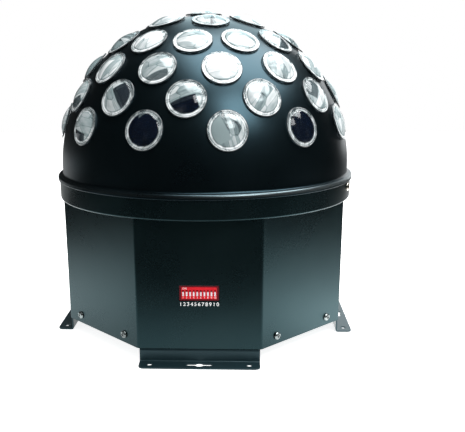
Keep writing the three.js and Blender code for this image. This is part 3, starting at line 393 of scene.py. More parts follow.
TURNED = (1, 1, 6)  # stretches the grain into turning marks
METALS = {
    "bright_screw": (1.0, (0.78, 0.75, 0.68, 1), (0.5, 0.46, 0.38, 1), 0.22),
    "black_screw": (0.9, (0.40, 0.46, 0.46, 1), (0.16, 0.18, 0.18, 1), 0.16),
    "bright_steel": (1.0, (0.62, 0.63, 0.63, 1), (0.42, 0.42, 0.42, 1), 0.3, TURNED),
    # The bowl's aluminium is coloured near black: painted shade for the inside of the dome.
    "aluminium_painted_dark": (0.9, (0.06, 0.075, 0.09, 1), (0.03, 0.042, 0.055, 1), 0.42, TURNED),
    "black_anodised": (0.8, (0.03, 0.03, 0.034, 1), (0.07, 0.07, 0.075, 1), 0.4),
}
PLASTICS = {
    "switch_red": (1.3, (0.66, 0.005, 0.015, 1), (0.8, 0.06, 0.08, 1), 0.45),
    # A darker red, as painted shade for the window's margin round the switch.
    "switch_red_painted_shade": (1.3, (0.13, 0.002, 0.008, 1), (0.2, 0.01, 0.02, 1), 0.5),
    "lever_white": (1.5, (0.84, 0.72, 0.76, 1), (0.95, 0.88, 0.9, 1), 0.38),
    "black_plastic": (1.5, (0.018, 0.018, 0.019, 1), (0.1, 0.1, 0.1, 1), 0.45),
    "board_green": (1.5, (0.01, 0.12, 0.05, 1), (0.2, 0.4, 0.2, 1), 0.35, 1.4, 0.03),
    "board_white": (1.5, (0.82, 0.81, 0.74, 1), (0.95, 0.95, 0.9, 1), 0.35, 1.4, 0.03),
}
for name, (metallic, *look) in METALS.items():
    finish(name, {"Metallic": metallic}, worked_metal(*look))
for name, (index, *look) in PLASTICS.items():
    finish(name, {"IOR": index}, moulded(*look))
gloss = moulded((0.012, 0.012, 0.013, 1), (0.06, 0.06, 0.06, 1), 0.2)
finish("gloss_black", {"IOR": 1.5, "Coat Weight": 0.5}, gloss)

# %% [markdown]
# Printing is a thin film of ink that has sunk unevenly into the paint, so it is a little patchy.

# %% Ink
def printed(graph):
    patch = noise(graph, 0.4, 3)
    return {
        "Base Color": blend(spread(patch, 0.35, 0.6), (0.7, 0.72, 0.72, 1), (0.95, 0.95, 0.95, 1)),
        "Roughness": spread(patch, 0.3, 0.7, 0.45, 0.65),
        "Normal": bump(patch, 0.01, 0.5),
    }


finish("white_ink", {}, printed)

# %% [markdown]
# ## Making and fitting pieces
#
# Pieces are made from outlines in millimetres. A turned piece is an outline spun about the dome's
# axis. A folded piece is a bent line with the thickness of the sheet. Cuts are Booleans, and
# `settled` turns whatever modifiers a piece carries into its plain mesh.

# %% Helpers for meshes
def piece_of(name, points, faces):
    """An object made from points in millimetres, with its doubles merged and its faces outwards."""
    mesh = bpy.data.meshes.new(name)
    mesh.from_pydata([Vector(point) * MM for point in points], [], faces)
    return tidied(linked(name, mesh))


def linked(name, mesh):
    made = bpy.data.objects.new(name, mesh)
    bpy.context.scene.collection.objects.link(made)
    return made


def tidied(piece):
    shape = bmesh.new()
    shape.from_mesh(piece.data)
    bmesh.ops.remove_doubles(shape, verts=shape.verts, dist=1e-6)
    bmesh.ops.recalc_face_normals(shape, faces=shape.faces)
    shape.to_mesh(piece.data)
    shape.free()
    return piece


def settled(piece):
    """Replaces a piece's mesh with what its modifiers make of it."""
    graph = bpy.context.evaluated_depsgraph_get()
    mesh = bpy.data.meshes.new_from_object(piece.evaluated_get(graph))
    piece.modifiers.clear()
    piece.data = mesh
    return piece


def carved(piece, *cutters, operation="DIFFERENCE"):
    for cutter in cutters:
        step = piece.modifiers.new("cut", "BOOLEAN")
        step.operation, step.object, step.solver = operation, cutter, "EXACT"
    settled(piece)
    for cutter in cutters:
        bpy.data.objects.remove(cutter)
    return piece


def softened(piece, width_mm, segments=2):
    """Rounds a piece's sharp edges."""
    step = piece.modifiers.new("bevel", "BEVEL")
    step.width, step.segments, step.angle_limit = width_mm * MM, segments, math.radians(40)
    return settled(piece)


def shaded(piece, sharp=35):
    """Smooth shading that leaves large flats flat and keeps sharp edges."""
    piece.data.shade_smooth()
    piece.data.set_sharp_from_angle(angle=math.radians(sharp))
    step = piece.modifiers.new("normals", "WEIGHTED_NORMAL")
    step.keep_sharp = True
    return settled(piece)


def together(name, *parts):
    """Several objects as one, in the order given."""
    shape = bmesh.new()
    for part in parts:
        shape.from_mesh(part.data)
        bpy.data.objects.remove(part)
    mesh = bpy.data.meshes.new(name)
    shape.to_mesh(mesh)
    shape.free()
    return linked(name, mesh)


def moved(piece, matrix):
    """Moves a piece by a matrix in millimetres, in its mesh."""
    matrix = matrix.copy()
    matrix.translation *= MM
    piece.data.transform(matrix)
    piece.data.update()
    return piece


def fitted(piece, body, slot, *stands_for, look=None):
    """Gives a piece its body and its finish, and hides the solids that it stands for.

    The finish is the one with the slot's name, unless look names another.
    """
    piece.data.materials.clear()
    piece.data.materials.append(FINISHES[look or slot])
    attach(piece, body)
    if stands_for:
        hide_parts(*stands_for)
    triangles = sum(len(face.vertices) - 2 for face in piece.data.polygons)
    print("piece", piece.name, "on", body, "triangles", triangles)


print("mesh helpers:", ", ".join(f.__name__ for f in (carved, softened, shaded, together, fitted)))

# %% [markdown]
# Most shapes here start as one of four: an outline spun about Z, an outline raised into a prism, a
# block with rounded edges, or a bent line with the thickness of a sheet.

# %% Helpers for shapes
def arc(centre, radius, start, end, steps):
    """Points on an arc, by angles in degrees."""
    turns = [math.radians(start + (end - start) * i / steps) for i in range(steps + 1)]
    return [(centre[0] + radius * math.cos(a), centre[1] + radius * math.sin(a)) for a in turns]


def turned(name, profile, sides):
    """An outline of (radius, height) points turned about Z, closed unless it starts on the axis."""
    open_chain = profile[0][0] == 0 and profile[-1][0] == 0
    count = len(profile)
    points = [
        (r * math.cos(a), r * math.sin(a), z)
        for a in (2 * math.pi * i / sides for i in range(sides))
        for r, z in profile
    ]
    faces = [
        (i * count + j, (i + 1) % sides * count + j, (i + 1) % sides * count + k, i * count + k)
        for i in range(sides)
        for j, k in ((j, (j + 1) % count) for j in range(count - open_chain))
    ]
    return shaded(piece_of(name, points, faces))


def prism(name, outline, low, high):
    """A flat outline raised from one level to another."""
    count = len(outline)
    points = [(x, y, z) for z in (low, high) for x, y in outline]
    sides = [(i, (i + 1) % count, count + (i + 1) % count, count + i) for i in range(count)]
    return piece_of(name, points, [tuple(range(count)), tuple(range(count, 2 * count)), *sides])


def rounded(x0, y0, x1, y1, radius, steps=6):
    """The outline of a rectangle with rounded corners."""
    left, low, right, high = x0 + radius, y0 + radius, x1 - radius, y1 - radius
    corners = [(right, high), (left, high), (left, low), (right, low)]
    return [point for i, c in enumerate(corners) for point in arc(c, radius, 90 * i, 90 * (i + 1), steps)]


def oblong(wide, high, radius, x=0, y=0):
    """A rounded rectangle about a middle, by half its width and half its height."""
    return rounded(x - wide, y - high, x + wide, y + high, radius)


def disc(x, y, radius, steps=32):
    return arc((x, y), radius, 0, 360, steps)[:-1]


def block(name, low, high, bevel, segments=2):
    """A block with rounded edges."""
    (x0, y0, z0), (x1, y1, z1) = low, high
    made = prism(name, [(x0, y0), (x1, y0), (x1, y1), (x0, y1)], z0, z1)
    return shaded(softened(made, bevel, segments)) if bevel else made


BEND_STEPS = 6  # round each corner of a bent line


def bent_line(corners, radius):
    """A line through some corners, rounded at each, with the direction to its left at every point."""
    points = []
    for i, here in enumerate(corners):
        here = Vector(here)
        if i in (0, len(corners) - 1):
            other = Vector(corners[1] if i == 0 else corners[-2])
            along = (other - here if i == 0 else here - other).normalized()
            points.append((here, Vector((-along.y, along.x))))
            continue
        before = (here - Vector(corners[i - 1])).normalized()
        after = (Vector(corners[i + 1]) - here).normalized()
        bend = before.angle_signed(after) * -1
        side = math.copysign(1, bend)
        start = here - before * radius * math.tan(abs(bend) / 2)
        centre = start + Vector((-before.y, before.x)) * radius * side
        for step in range(BEND_STEPS + 1):
            turn = Matrix.Rotation(bend * step / BEND_STEPS, 2)
            left = turn @ Vector((-before.y, before.x))
            points.append((centre - left * radius * side, left))
    return points


def folded(name, corners, low, high, radius, sheet, lay=lambda u, v, w: (u, v, w)):
    """A folded sheet: a bent line along its middle, raised from one level to another."""
    line = bent_line(corners, radius)
    points = [
        lay(*(at + left * side * sheet / 2), level)
        for at, left in line
        for side, level in ((-1, low), (-1, high), (1, high), (1, low))
    ]
    last = 4 * (len(line) - 1)
    strips = [
        (4 * i + j, 4 * i + 4 + j, 4 * i + 4 + (j + 1) % 4, 4 * i + (j + 1) % 4)
        for i in range(len(line) - 1)
        for j in range(4)
    ]
    return piece_of(name, points, [(0, 1, 2, 3), (last, last + 1, last + 2, last + 3), *strips])


print("shapes:", ", ".join(f.__name__ for f in (turned, prism, block, folded)))

# %% [markdown]
# ## Copies by rule
#
# The lenses stand in rings round the dome. Each ring has its own height, given as an angle, and its
# own number of lenses. A Geometry Nodes tree makes a circle of points for each ring and puts a copy
# of a piece on every point, aimed away from the ball's centre. The same tree can cut the copies out of
# a shell instead, so the holes always lie under the lenses.

# %% The tree that puts pieces on a ball
def new_tree(name, sizes):
    tree = bpy.data.node_groups.new(name, "GeometryNodeTree")
    for label, kind in {"Geometry": "Geometry", **sizes}.items():
        tree.interface.new_socket(label, in_out="INPUT", socket_type="NodeSocket" + kind)
    tree.interface.new_socket("Geometry", in_out="OUTPUT", socket_type="NodeSocketGeometry")
    return tree, Graph(tree)


def closed(graph, shape, material):
    """Ends a tree: real geometry in one finish."""
    real = graph.add("GeometryNodeRealizeInstances", {"Geometry": shape})
    coloured = graph.add("GeometryNodeSetMaterial", {"Geometry": real, "Material": material})
    end = graph.tree.nodes.new("NodeGroupOutput")
    graph.feed(end.inputs[0], coloured)


def upward(graph, amount):
    """A vector along Z."""
    return graph.add("ShaderNodeCombineXYZ", {"Z": amount})


def copied(graph, given, points, rotation):
    """A copy of the tree's piece on every point."""
    source = graph.add("GeometryNodeObjectInfo", {"Object": given.part("Piece")}).part("Geometry")
    inputs = {"Points": points, "Instance": source, "Rotation": rotation}
    return graph.add("GeometryNodeInstanceOnPoints", inputs)


def ball_tree(name, rings, piercing):
    """rings are (elevation in degrees, count, degrees round from the front) for each ring."""
    sizes = {"Piece": "Object", "Ball radius": "Float", "Ball height": "Float", "Turn": "Float"}
    tree, graph = new_tree(name, {**sizes, "Finish": "Material"})
    given = graph.add("NodeGroupInput")
    radius, turn = given.part("Ball radius"), given.part("Turn")
    joined = graph.add("GeometryNodeJoinGeometry")
    for elevation, count, first in rings:
        level = radius * math.cos(math.radians(elevation))
        height = upward(graph, radius * math.sin(math.radians(elevation)))
        if count == 1:
            points = graph.add("GeometryNodePoints", {"Count": 1, "Position": height})
        else:
            ring = graph.add("GeometryNodeMeshCircle", {"Vertices": count, "Radius": level})
            angle = upward(graph, turn + math.radians(first - 90))
            inputs = {"Geometry": ring, "Translation": height, "Rotation": angle}
            ring = graph.add("GeometryNodeTransform", inputs)
            points = graph.add("GeometryNodeMeshToPoints", {"Mesh": ring})
        graph.feed(joined.socket.node.inputs[0], points)
    position = graph.add("GeometryNodeInputPosition")
    outwards = graph.add("FunctionNodeAlignRotationToVector", {"Vector": position}, axis="Z")
    copies = copied(graph, given, joined, outwards)
    real = graph.add("GeometryNodeRealizeInstances", {"Geometry": copies})
    lift = upward(graph, given.part("Ball height"))
    shape = graph.add("GeometryNodeTransform", {"Geometry": real, "Translation": lift})
    if piercing:
        shells = {"Mesh 1": given.part("Geometry"), "Mesh 2": shape}
        shape = graph.add("GeometryNodeMeshBoolean", shells, operation="DIFFERENCE", solver="EXACT")
    closed(graph, shape, given.part("Finish"))
    return tree


def grown(piece, tree, sizes):
    """Runs a tree on a piece, with its inputs set by their identifiers, and settles the result."""
    step = piece.modifiers.new("nodes", "NODES")
    step.node_group = tree
    for socket in tree.interface.items_tree:
        if socket.in_out == "INPUT" and socket.name in sizes:
            step[socket.identifier] = sizes[socket.name]
    return settled(piece)


DOME_RADIUS = 116
BALL_HEIGHT = 132  # of the ball's centre
DOME_TURN = math.radians(10.6)
LENS_RINGS = [
    (18.3, 12, 0),
    (29.5, 12, 15),
    (41.5, 12, 0),
    (55.3, 12, 15),
    (72, 6, 0),
    (90, 1, 0),
]
LENSES = sum(count for _, count, _ in LENS_RINGS)
print("lenses", LENSES)


def on_ball(base, name, rings, piece, radius, look, piercing=True):
    """Cuts a piece out of a base at every point of the rings, or else puts it there. It is used up."""
    sizes = {"Piece": piece, "Ball radius": radius * MM, "Ball height": BALL_HEIGHT * MM}
    sizes |= {"Turn": DOME_TURN, "Finish": FINISHES[look]}
    made = grown(base, ball_tree(name, rings, piercing), sizes)
    bpy.data.objects.remove(piece)
    return made


# %% [markdown]
# ## The dome
#
# The dome is spun from sheet: half a ball over a short neck, a rolled bead at its widest part, and a
# skirt below that drops into the collar. A turned outline gives that exactly. It is turned in 192
# steps, fine enough for smooth reflections, and the tree then cuts the 55 lens holes.

# %% Dome shell
SPUN_SIDES = 192
DOME_WALL = 1.5
LENS_HOLE = 10.4  # radius


def dome_outline():
    inner = arc((0, BALL_HEIGHT), DOME_RADIUS - DOME_WALL, 90, 0, 48)
    outer = arc((0, BALL_HEIGHT), DOME_RADIUS, 0, 90, 48)
    inner[0], outer[-1] = (0, inner[0][1]), (0, outer[-1][1])
    skirt = [(115.8, 124.8), (115.8, 113.1), (116.1, 112.8), (117, 112.8), (117.3, 113.1), (117.3, 122.8)]
    bead = [*arc((119.5, 123.3), 0.5, -90, 0, 3), *arc((118, 124.8), 2, 0, 90, 8)]
    neck = [(117, 126.9), (116.4, 127.3), (116.1, 127.9), (116, 128.7)]
    return [*inner, *skirt, *bead, *neck, *outer]


def round_drill(radius, reach=6):
    """A cutter along Z, from below a shell to above it."""
    return prism("drill", disc(0, 0, radius, 40), -reach, reach)


dome = turned("dome", dome_outline(), SPUN_SIDES)
dome = on_ball(dome, "holes_in_dome", LENS_RINGS, round_drill(LENS_HOLE), DOME_RADIUS, "dome_satin_black")
fitted(shaded(dome), "housing", "dome_paint", "dome_shell", look="dome_satin_black")

# %% [markdown]
# ## The lenses
#
# Seen from the side a lens is a low crown inside a flat, stepped rim, with a plug below that fills the
# hole in the dome. The crown is a slice of a ball, and the back of the plug is flat, which makes it
# a magnifying lens. One lens is turned and the tree sets 55 of them.

# %% Lenses
LENS_RADIUS = 14.4


def lens_outline():
    """Heights are measured from the dome's surface at the lens's middle."""
    seat, top = -0.15, 4.1
    crown_radius, crown_foot = 11.2, 1.35
    sagitta = top - crown_foot
    ball = (crown_radius**2 + sagitta**2) / (2 * sagitta)
    reach = math.degrees(math.asin(crown_radius / ball))
    crown = arc((0, top - ball), ball, 90, 90 - reach, 9)
    crown[0] = (0, top)
    flat = [(11.4, 1.0), (11.9, 0.85), (13.4, 0.95)]
    edge = [(14.1, 0.8), (LENS_RADIUS, 0.4), (14.35, 0.0), (14.1, seat)]
    plug = [(10.3, seat), (10.1, seat - 0.3), (10.0, -4.3), (9.7, -4.6), (0, -4.6)]
    return [*crown, *flat, *edge, *plug]


empty = linked("lenses", bpy.data.meshes.new("lenses"))
one_lens = turned("one_lens", lens_outline(), 48)
lenses = on_ball(empty, "lenses_on_dome", LENS_RINGS, one_lens, DOME_RADIUS, "lens_acrylic", piercing=False)
print("vertices of the lenses", len(lenses.data.vertices))

# %% [markdown]
# No two lenses sparkle alike, because each shows another part of the room, and that sparkle is painted
# in. The lenses that the picture shows best are given the painted reflections and light they have there,
# by where they stand on the dome. The others draw theirs from a fixed seed. Both go into the mesh as
# attributes, which the lens finish reads.

# %% The look of each lens
# Azimuth from the front towards +X and elevation, in degrees. Then the turn of the painted facets in
# degrees, the place of the edge of the painted lit side, the facets' painted brightness and how bright
# the rest of the lens is painted.
PAINTED_LENS_LIGHT = {
    (-49.4, 18.3): (100, 0.3, 0.72, 0.03),
    (-19.4, 18.3): (30, -1.2, 0.05, 0.0),
    (10.6, 18.3): (158, 0.05, 0.62, 0.32),
    (40.6, 18.3): (20, -1.2, 0.05, 0.0),
    (70.6, 18.3): (350, 0.0, 0.85, 0.05),
    (-64.4, 29.5): (60, 0.3, 0.8, 0.05),
    (-34.4, 29.5): (320, 0.0, 0.7, 0.02),
    (-4.4, 29.5): (70, -0.1, 0.75, 0.0),
    (25.6, 29.5): (40, 0.9, 0.66, 0.5),
    (55.6, 29.5): (220, 0.1, 0.8, 0.1),
    (-49.4, 41.5): (200, 0.3, 0.85, 0.15),
    (-19.4, 41.5): (60, 0.4, 0.7, 0.1),
    (10.6, 41.5): (90, 1.2, 1.0, 0.9),
    (40.6, 41.5): (20, 1.2, 0.72, 0.6),
    (70.6, 41.5): (40, 0.3, 0.85, 0.3),
    (-34.4, 55.3): (200, 0.6, 0.95, 0.5),
    (-4.4, 55.3): (90, 1.2, 0.8, 0.9),
    (25.6, 55.3): (90, 1.2, 0.8, 0.9),
}
NEAR = 3  # degrees: a lens closer than this to a listed place is the one listed
chance = random.Random(12)
per_lens = len(lenses.data.vertices) // LENSES
lenses.data.attributes.new("spot", "FLOAT_VECTOR", "POINT")
lenses.data.attributes.new("look", "FLOAT_COLOR", "POINT")
spots, lens_light_values = lenses.data.attributes["spot"], lenses.data.attributes["look"]
ball = Vector((0, 0, BALL_HEIGHT * MM))
for first in range(0, len(lenses.data.vertices), per_lens):
    points = [vertex.co - ball for vertex in lenses.data.vertices[first : first + per_lens]]
    out = (sum(points, Vector()) / per_lens).normalized()
    azimuth = math.degrees(math.atan2(out.x, -out.y))
    elevation = math.degrees(math.asin(out.z))
    right = Vector((math.cos(math.radians(azimuth)), math.sin(math.radians(azimuth)), 0))
    up = out.cross(right)
    # Painted light for a lens that is not listed, drawn from the seed.
    look = [chance.uniform(*ends) for ends in ((0, 360), (-0.2, 0.9), (0.45, 0.9), (0, 0.35))]
    for (near_azimuth, near_elevation), seen in PAINTED_LENS_LIGHT.items():
        if max(abs(azimuth - near_azimuth), abs(elevation - near_elevation)) < NEAR:
            look = seen
    for i, point in enumerate(points, first):
        spots.data[i].vector = Vector((point.dot(right), point.dot(up), 0)) / (LENS_RADIUS * MM)
        lens_light_values.data[i].color = (math.radians(look[0]), *look[1:])

rows = [f"lens_row_{i}" for i in range(1, 6)]
fitted(shaded(lenses, 24), "housing", "clear_lens", *rows, "lens_top", look="lens_acrylic")

# %% [markdown]
# ## The turning bowl
#
# Inside the dome a small aluminium bowl with two rings of holes turns on the motor's shaft. It is
# what shows through the lenses, so its aluminium is coloured near black, as painted shade for the dark
# inside of the dome. It is turned and pierced in the same way as the dome.

# %% Bowl
BOWL_RINGS = [(18, 8, 0), (46, 4, 0)]
BOWL_RADIUS, BOWL_INSIDE = 62, 60.8
BOWL_HOLE = 8  # radius


def bowl_outline():
    inner = arc((0, BALL_HEIGHT), BOWL_INSIDE, 90, 0, 24)
    outer = arc((0, BALL_HEIGHT), BOWL_RADIUS, 0, 90, 24)
    inner[0], outer[-1] = (0, inner[0][1]), (0, outer[-1][1])
    return [*inner, (BOWL_INSIDE, 129.2), (61.0, 129), (61.8, 129), (BOWL_RADIUS, 129.2), *outer]


bowl = turned("bowl", bowl_outline(), 96)
bowl = on_ball(bowl, "holes_in_bowl", BOWL_RINGS, round_drill(BOWL_HOLE), BOWL_RADIUS, "aluminium_painted_dark")
hub = turned("hub", [(2.8, 182.8), (6.6, 182.8), (7, 183.2), (7, 190.5), (8.2, 192.3), (2.8, 192.3)], 48)
bowl = shaded(together("turning_bowl", bowl, hub))
fitted(bowl, "turning_bowl", "aluminium", "gobo_bowl", look="aluminium_painted_dark")

# %% [markdown]
# ## The collar
#
# The collar is a shallow pan of sheet steel. Its wall stands just inside the bead, its lower edge
# is rounded where the sheet was drawn, and two screws go through it into the dome's skirt.

# %% Collar
def collar_outline():
    outer = [(118.8, 122.5), (118.8, 109.5), *arc((117.3, 109.5), 1.5, 0, -90, 6)[1:]]
    inner = [(117.3, 109.2), *arc((117.3, 109.5), 0.3, -90, 0, 3)[1:], (117.6, 122.5)]
    return [*outer, (75, 108), (75, 109.2), *inner]


def about_z(degrees):
    return Matrix.Rotation(math.radians(degrees), 4, "Z")


UPRIGHT = Matrix.Rotation(math.pi / 2, 4, "X")  # turns what points up +Z to the front


def facing(azimuth, radius, height):
    """Stands a piece that points up +Z on a face, pointing out. Azimuth is from the front towards +X."""
    return about_z(azimuth) @ Matrix.Translation((0, -radius, height)) @ UPRIGHT


COLLAR_FACE, COLLAR_SCREW_UP = 118.85, 118.8
COLLAR_SCREW_AZIMUTHS = (70.6, 250.6)
COLLAR_SCREWS = [facing(azimuth, COLLAR_FACE, COLLAR_SCREW_UP) for azimuth in COLLAR_SCREW_AZIMUTHS]
SCREW_HOLE = 1.9  # radius


def screw_holes(places):
    return together("screw_holes", *[moved(round_drill(SCREW_HOLE, 5), place) for place in places])


collar = carved(turned("collar", collar_outline(), SPUN_SIDES), screw_holes(COLLAR_SCREWS))
fitted(shaded(collar), "housing", "dome_paint", "dome_collar", look="housing_satin_grey")

# %% [markdown]
# ## Screws
#
# The screws are pan heads with a cross recess. The head is turned and the recess is two tapered bars
# cut from it. Screws are driven to no particular angle, so a second tree puts them on their points and
# spins each by an amount that a fixed seed gives.

# %% One screw
def one_screw(name, radius):
    """A screw that points up, with its seat at z = 0."""
    top = 1.8
    crown = [(0, top), (radius * 0.45, top * 0.97), (radius * 0.75, top * 0.82), (radius * 0.93, top * 0.55)]
    outline = [*crown, (radius, top * 0.25), (radius * 0.98, 0), (1.5, 0), (1.5, -5.6), (1.1, -6), (0, -6)]
    bars = []
    for turn in (0, 90):
        wide, deep = radius * 0.62, radius * 0.3
        slot = [(-wide, top + 0.2), (wide, top + 0.2), (deep, top - 1.3), (-deep, top - 1.3)]
        bars.append(moved(prism("bar", slot, -0.36, 0.36), about_z(turn) @ UPRIGHT))
    return shaded(carved(turned(name, outline, 40), *bars), 30)


print("a screw is turned from an outline and two bars cut its recess")

# %% [markdown]
# Points come from a mesh of loose vertices. Each vertex carries the turn of its copy as an attribute,
# which instancing can't guess, and Random Value adds the spin.

# %% The tree that puts pieces on points
def points_tree(name):
    """Copies a piece onto a mesh's points, turned by their own attribute and spun at random."""
    tree, graph = new_tree(name, {"Piece": "Object", "Spin": "Float", "Seed": "Int", "Finish": "Material"})
    given = graph.add("NodeGroupInput")
    turn = graph.add("GeometryNodeInputNamedAttribute", {"Name": "turn"}, data_type="FLOAT_VECTOR")
    placed = graph.add("FunctionNodeEulerToRotation", {"Euler": turn})
    reach = {2: 0.0, 3: given.part("Spin"), "Seed": given.part("Seed")}
    chance = graph.add("FunctionNodeRandomValue", reach, 1, data_type="FLOAT")
    spin = graph.add("FunctionNodeAxisAngleToRotation", {"Angle": chance})
    both = {"Rotation": placed, "Rotate By": spin}
    spun = graph.add("FunctionNodeRotateRotation", both, rotation_space="LOCAL")
    points = graph.add("GeometryNodeMeshToPoints", {"Mesh": given.part("Geometry")})
    closed(graph, copied(graph, given, points, spun), given.part("Finish"))
    return tree


COPIES = points_tree("copies_on_points")


def copies(name, source, places, look, spin=0.0, seed=1):
    """One mesh with a copy of a piece at each place. The piece itself is used up."""
    mesh = bpy.data.meshes.new(name)
    mesh.from_pydata([place.translation * MM for place in places], [], [])
    holder = linked(name, mesh)
    turns = holder.data.attributes.new("turn", "FLOAT_VECTOR", "POINT")
    for item, place in zip(turns.data, places):
        item.vector = place.to_euler()
    sizes = {"Piece": source, "Spin": spin, "Seed": seed, "Finish": FINISHES[look]}
    made = grown(holder, COPIES, sizes)
    bpy.data.objects.remove(source)
    return made


collar_screw = one_screw("one_collar_screw", 3.3)
collar_screws = copies("collar_screws", collar_screw, COLLAR_SCREWS, "bright_screw", math.pi, seed=4)
fitted(collar_screws, "housing", "bright_screw", "collar_screw_1", "collar_screw_2")

# %% [markdown]
# ## The housing's covers
#
# Two folded sheets make the housing. The front cover is the front panel with the two slanting faces
# beside it. The rear one is the sides, the rear slanting faces and the rear panel. The folds have the
# small round of a press brake, so the line of the sheet is rounded at each corner.

# %% Front cover
SHEET = 1.2
FOLD = 2.2  # radius at a fold, in the middle of the sheet
APOTHEM = 109
LOW, HIGH = 11, 108
MIDDLE = APOTHEM - SHEET / 2  # of the sheet
CORNER = MIDDLE * math.tan(math.pi / 8)
SWITCH = (0, 53.7)  # middle of the switch's window, across and up
WINDOW = (14.4, 5.75)  # half its width and half its height
SCREW_ACROSS, SCREW_UP = 28.9, 17.6
SLANTED_SCREWS = [
    about_z(turn) @ Matrix.Translation((side * SCREW_ACROSS, 0, 0)) @ facing(0, APOTHEM, SCREW_UP)
    for turn in (45, 135, 225, 315)
    for side in (-1, 1)
]


def through_face(outline):
    """A cutter through a square face at the front. The outline is across and up."""
    return moved(prism("window", outline, APOTHEM - 4, APOTHEM + 4), UPRIGHT)


front_line = [(-MIDDLE, -CORNER - 0.3), (-CORNER, -MIDDLE), (CORNER, -MIDDLE), (MIDDLE, -CORNER - 0.3)]
front = folded("front_cover_sheet", front_line, LOW, HIGH, FOLD, SHEET)
window = through_face(oblong(*WINDOW, 0.5, *SWITCH))
front = carved(front, window, screw_holes(SLANTED_SCREWS[:2] + SLANTED_SCREWS[6:]))
fitted(shaded(softened(front, 0.3)), "housing", "housing_paint", "front_cover", look="housing_satin_grey")

# %% [markdown]
# The rear panel has an opening for each fitting. Their cutters are made at the front and turned half
# round, so each outline is mirrored first and comes out where its numbers say.

# %% Rear housing
INLET = (-20, 38.83)
ROCKER = (22, 38.83)
SIGNALS = [(21, 82.17), (-21, 82.17)]
MICROPHONE = (22, 58.5)


def through_rear(outline):
    """A cutter through the rear panel. The outline is across towards +X and up."""
    flipped = [(-x, z) for x, z in reversed(outline)]
    return moved(through_face(flipped), about_z(180))


side_line = [(MIDDLE, -CORNER + 0.2), (MIDDLE, CORNER), (CORNER, MIDDLE)]
rear_line = [*side_line, (-CORNER, MIDDLE), (-MIDDLE, CORNER), (-MIDDLE, -CORNER + 0.2)]
openings = [disc(x, z, 12.2, 48) for x, z in SIGNALS]
openings += [disc(*MICROPHONE, 2.4), oblong(14.3, 16.3, 1, *INLET), oblong(7.1, 10.6, 1, *ROCKER)]
rear = folded("rear_housing_sheet", rear_line, LOW, HIGH, FOLD, SHEET)
rear = carved(rear, *[through_rear(outline) for outline in openings], screw_holes(SLANTED_SCREWS[2:6]))
fitted(shaded(softened(rear, 0.3)), "housing", "housing_paint", "rear_housing", look="housing_satin_grey")

cover_screw = one_screw("one_cover_screw", 2.9)
PROUD = Matrix.Translation((0, 0, 0.3))  # the heads stand off the paint
proud = [place @ PROUD for place in SLANTED_SCREWS]
cover_screws = copies("cover_screws", cover_screw, proud, "black_screw", math.pi, seed=9)
fitted(cover_screws, "housing", "black_screw", *[f"cover_screw_{i}" for i in range(1, 9)])

# %% [markdown]
# ## Feet
#
# A foot is a strip folded twice into a Z: one flange lies on the floor with two round holes and a
# keyhole, and the other is screwed under the tray. One foot is folded and cut, and the tree sets four.

# %% Feet
FOOT_HALF = 44.15  # of its width
FOOT_END = -120.49
KEYHOLE = -114.5
ROUND_HOLES = 36.3  # to each side of the keyhole


def stood(u, v, w):
    """Stands a folded sheet's section up, so that its folds run along X."""
    return (w, u, v)


foot_line = [(FOOT_END, 0.6), (-107.9, 0.6), (-107.9, 10.4), (-94.5, 10.4)]
foot = folded("one_foot", foot_line, -FOOT_HALF, FOOT_HALF, 1.5, SHEET, stood)
plan = rounded(-FOOT_HALF, FOOT_END, FOOT_HALF, -90, 4)
foot = carved(foot, prism("plan", plan, -1, 12), operation="INTERSECT")
slot = rounded(-9.5, KEYHOLE - 1.7, 9.5, KEYHOLE + 1.7, 1.69, 8)
holes = [disc(-ROUND_HOLES, KEYHOLE, 2), disc(ROUND_HOLES, KEYHOLE, 2), slot, disc(0, KEYHOLE, 3.3)]
foot = carved(foot, *[prism("hole", outline, -1, 3) for outline in holes])
foot = shaded(softened(foot, 0.25))
feet = copies("feet", foot, [about_z(90 * i) for i in range(4)], "foot_satin_grey")
foot_nodes = [f"foot_{side}" for side in ("front", "right", "rear", "left")]
fitted(feet, "housing", "housing_paint", *foot_nodes, look="foot_satin_grey")

# %% [markdown]
# ## The ten-way switch
#
# The switch is a red block with ten slots, each with a small white lever that slides up or down. A
# flange shows round it in the window, coloured a darker red as painted shade for the window's margin.
# Its ON mark and numbers are moulded in white. Each lever is a body of its own, so each gets a piece of its
# own.

# %% Switch body
LEVER_PITCH = 2.54
FACE = -108.7  # the block's front
LEVER_X = [(i - 4.5) * LEVER_PITCH for i in range(10)]
ACROSS, UP = SWITCH


def switch_part(name, wide, high, front, back, bevel, x=ACROSS, z=UP):
    """A block about a place on the switch, by half its width and half its height."""
    return block(name, (x - wide, front, z - high), (x + wide, back, z + high), bevel)


switch_body = switch_part("switch_block", 12.8, 4.5, FACE, -101, 0.35)
slots = [switch_part("slot", 0.75, 2.35, FACE - 2, FACE + 2, 0, x) for x in LEVER_X]
switch_body = carved(switch_body, together("slots", *slots))
fitted(shaded(switch_body), "housing", "switch_red", "switch_body")

# The flange's darker red is painted shade for the margin of the window round the block.
FLANGE_BACK, FLANGE_FRONT = 106.2, 108.6
flange = prism("switch_flange", oblong(14.2, 5.6, 0.5, *SWITCH), FLANGE_BACK, FLANGE_FRONT)
flange = moved(flange, UPRIGHT)
flange = carved(flange, through_face(oblong(12.75, 4.45, 0.3, *SWITCH)))
fitted(shaded(softened(flange, 0.12)), "housing", "switch_red", look="switch_red_painted_shade")

# %% [markdown]
# A lever is a stem with a ridge across its face, which a fingernail or a pin pushes. They all rest
# down, so they stand a little under the slots' middle.

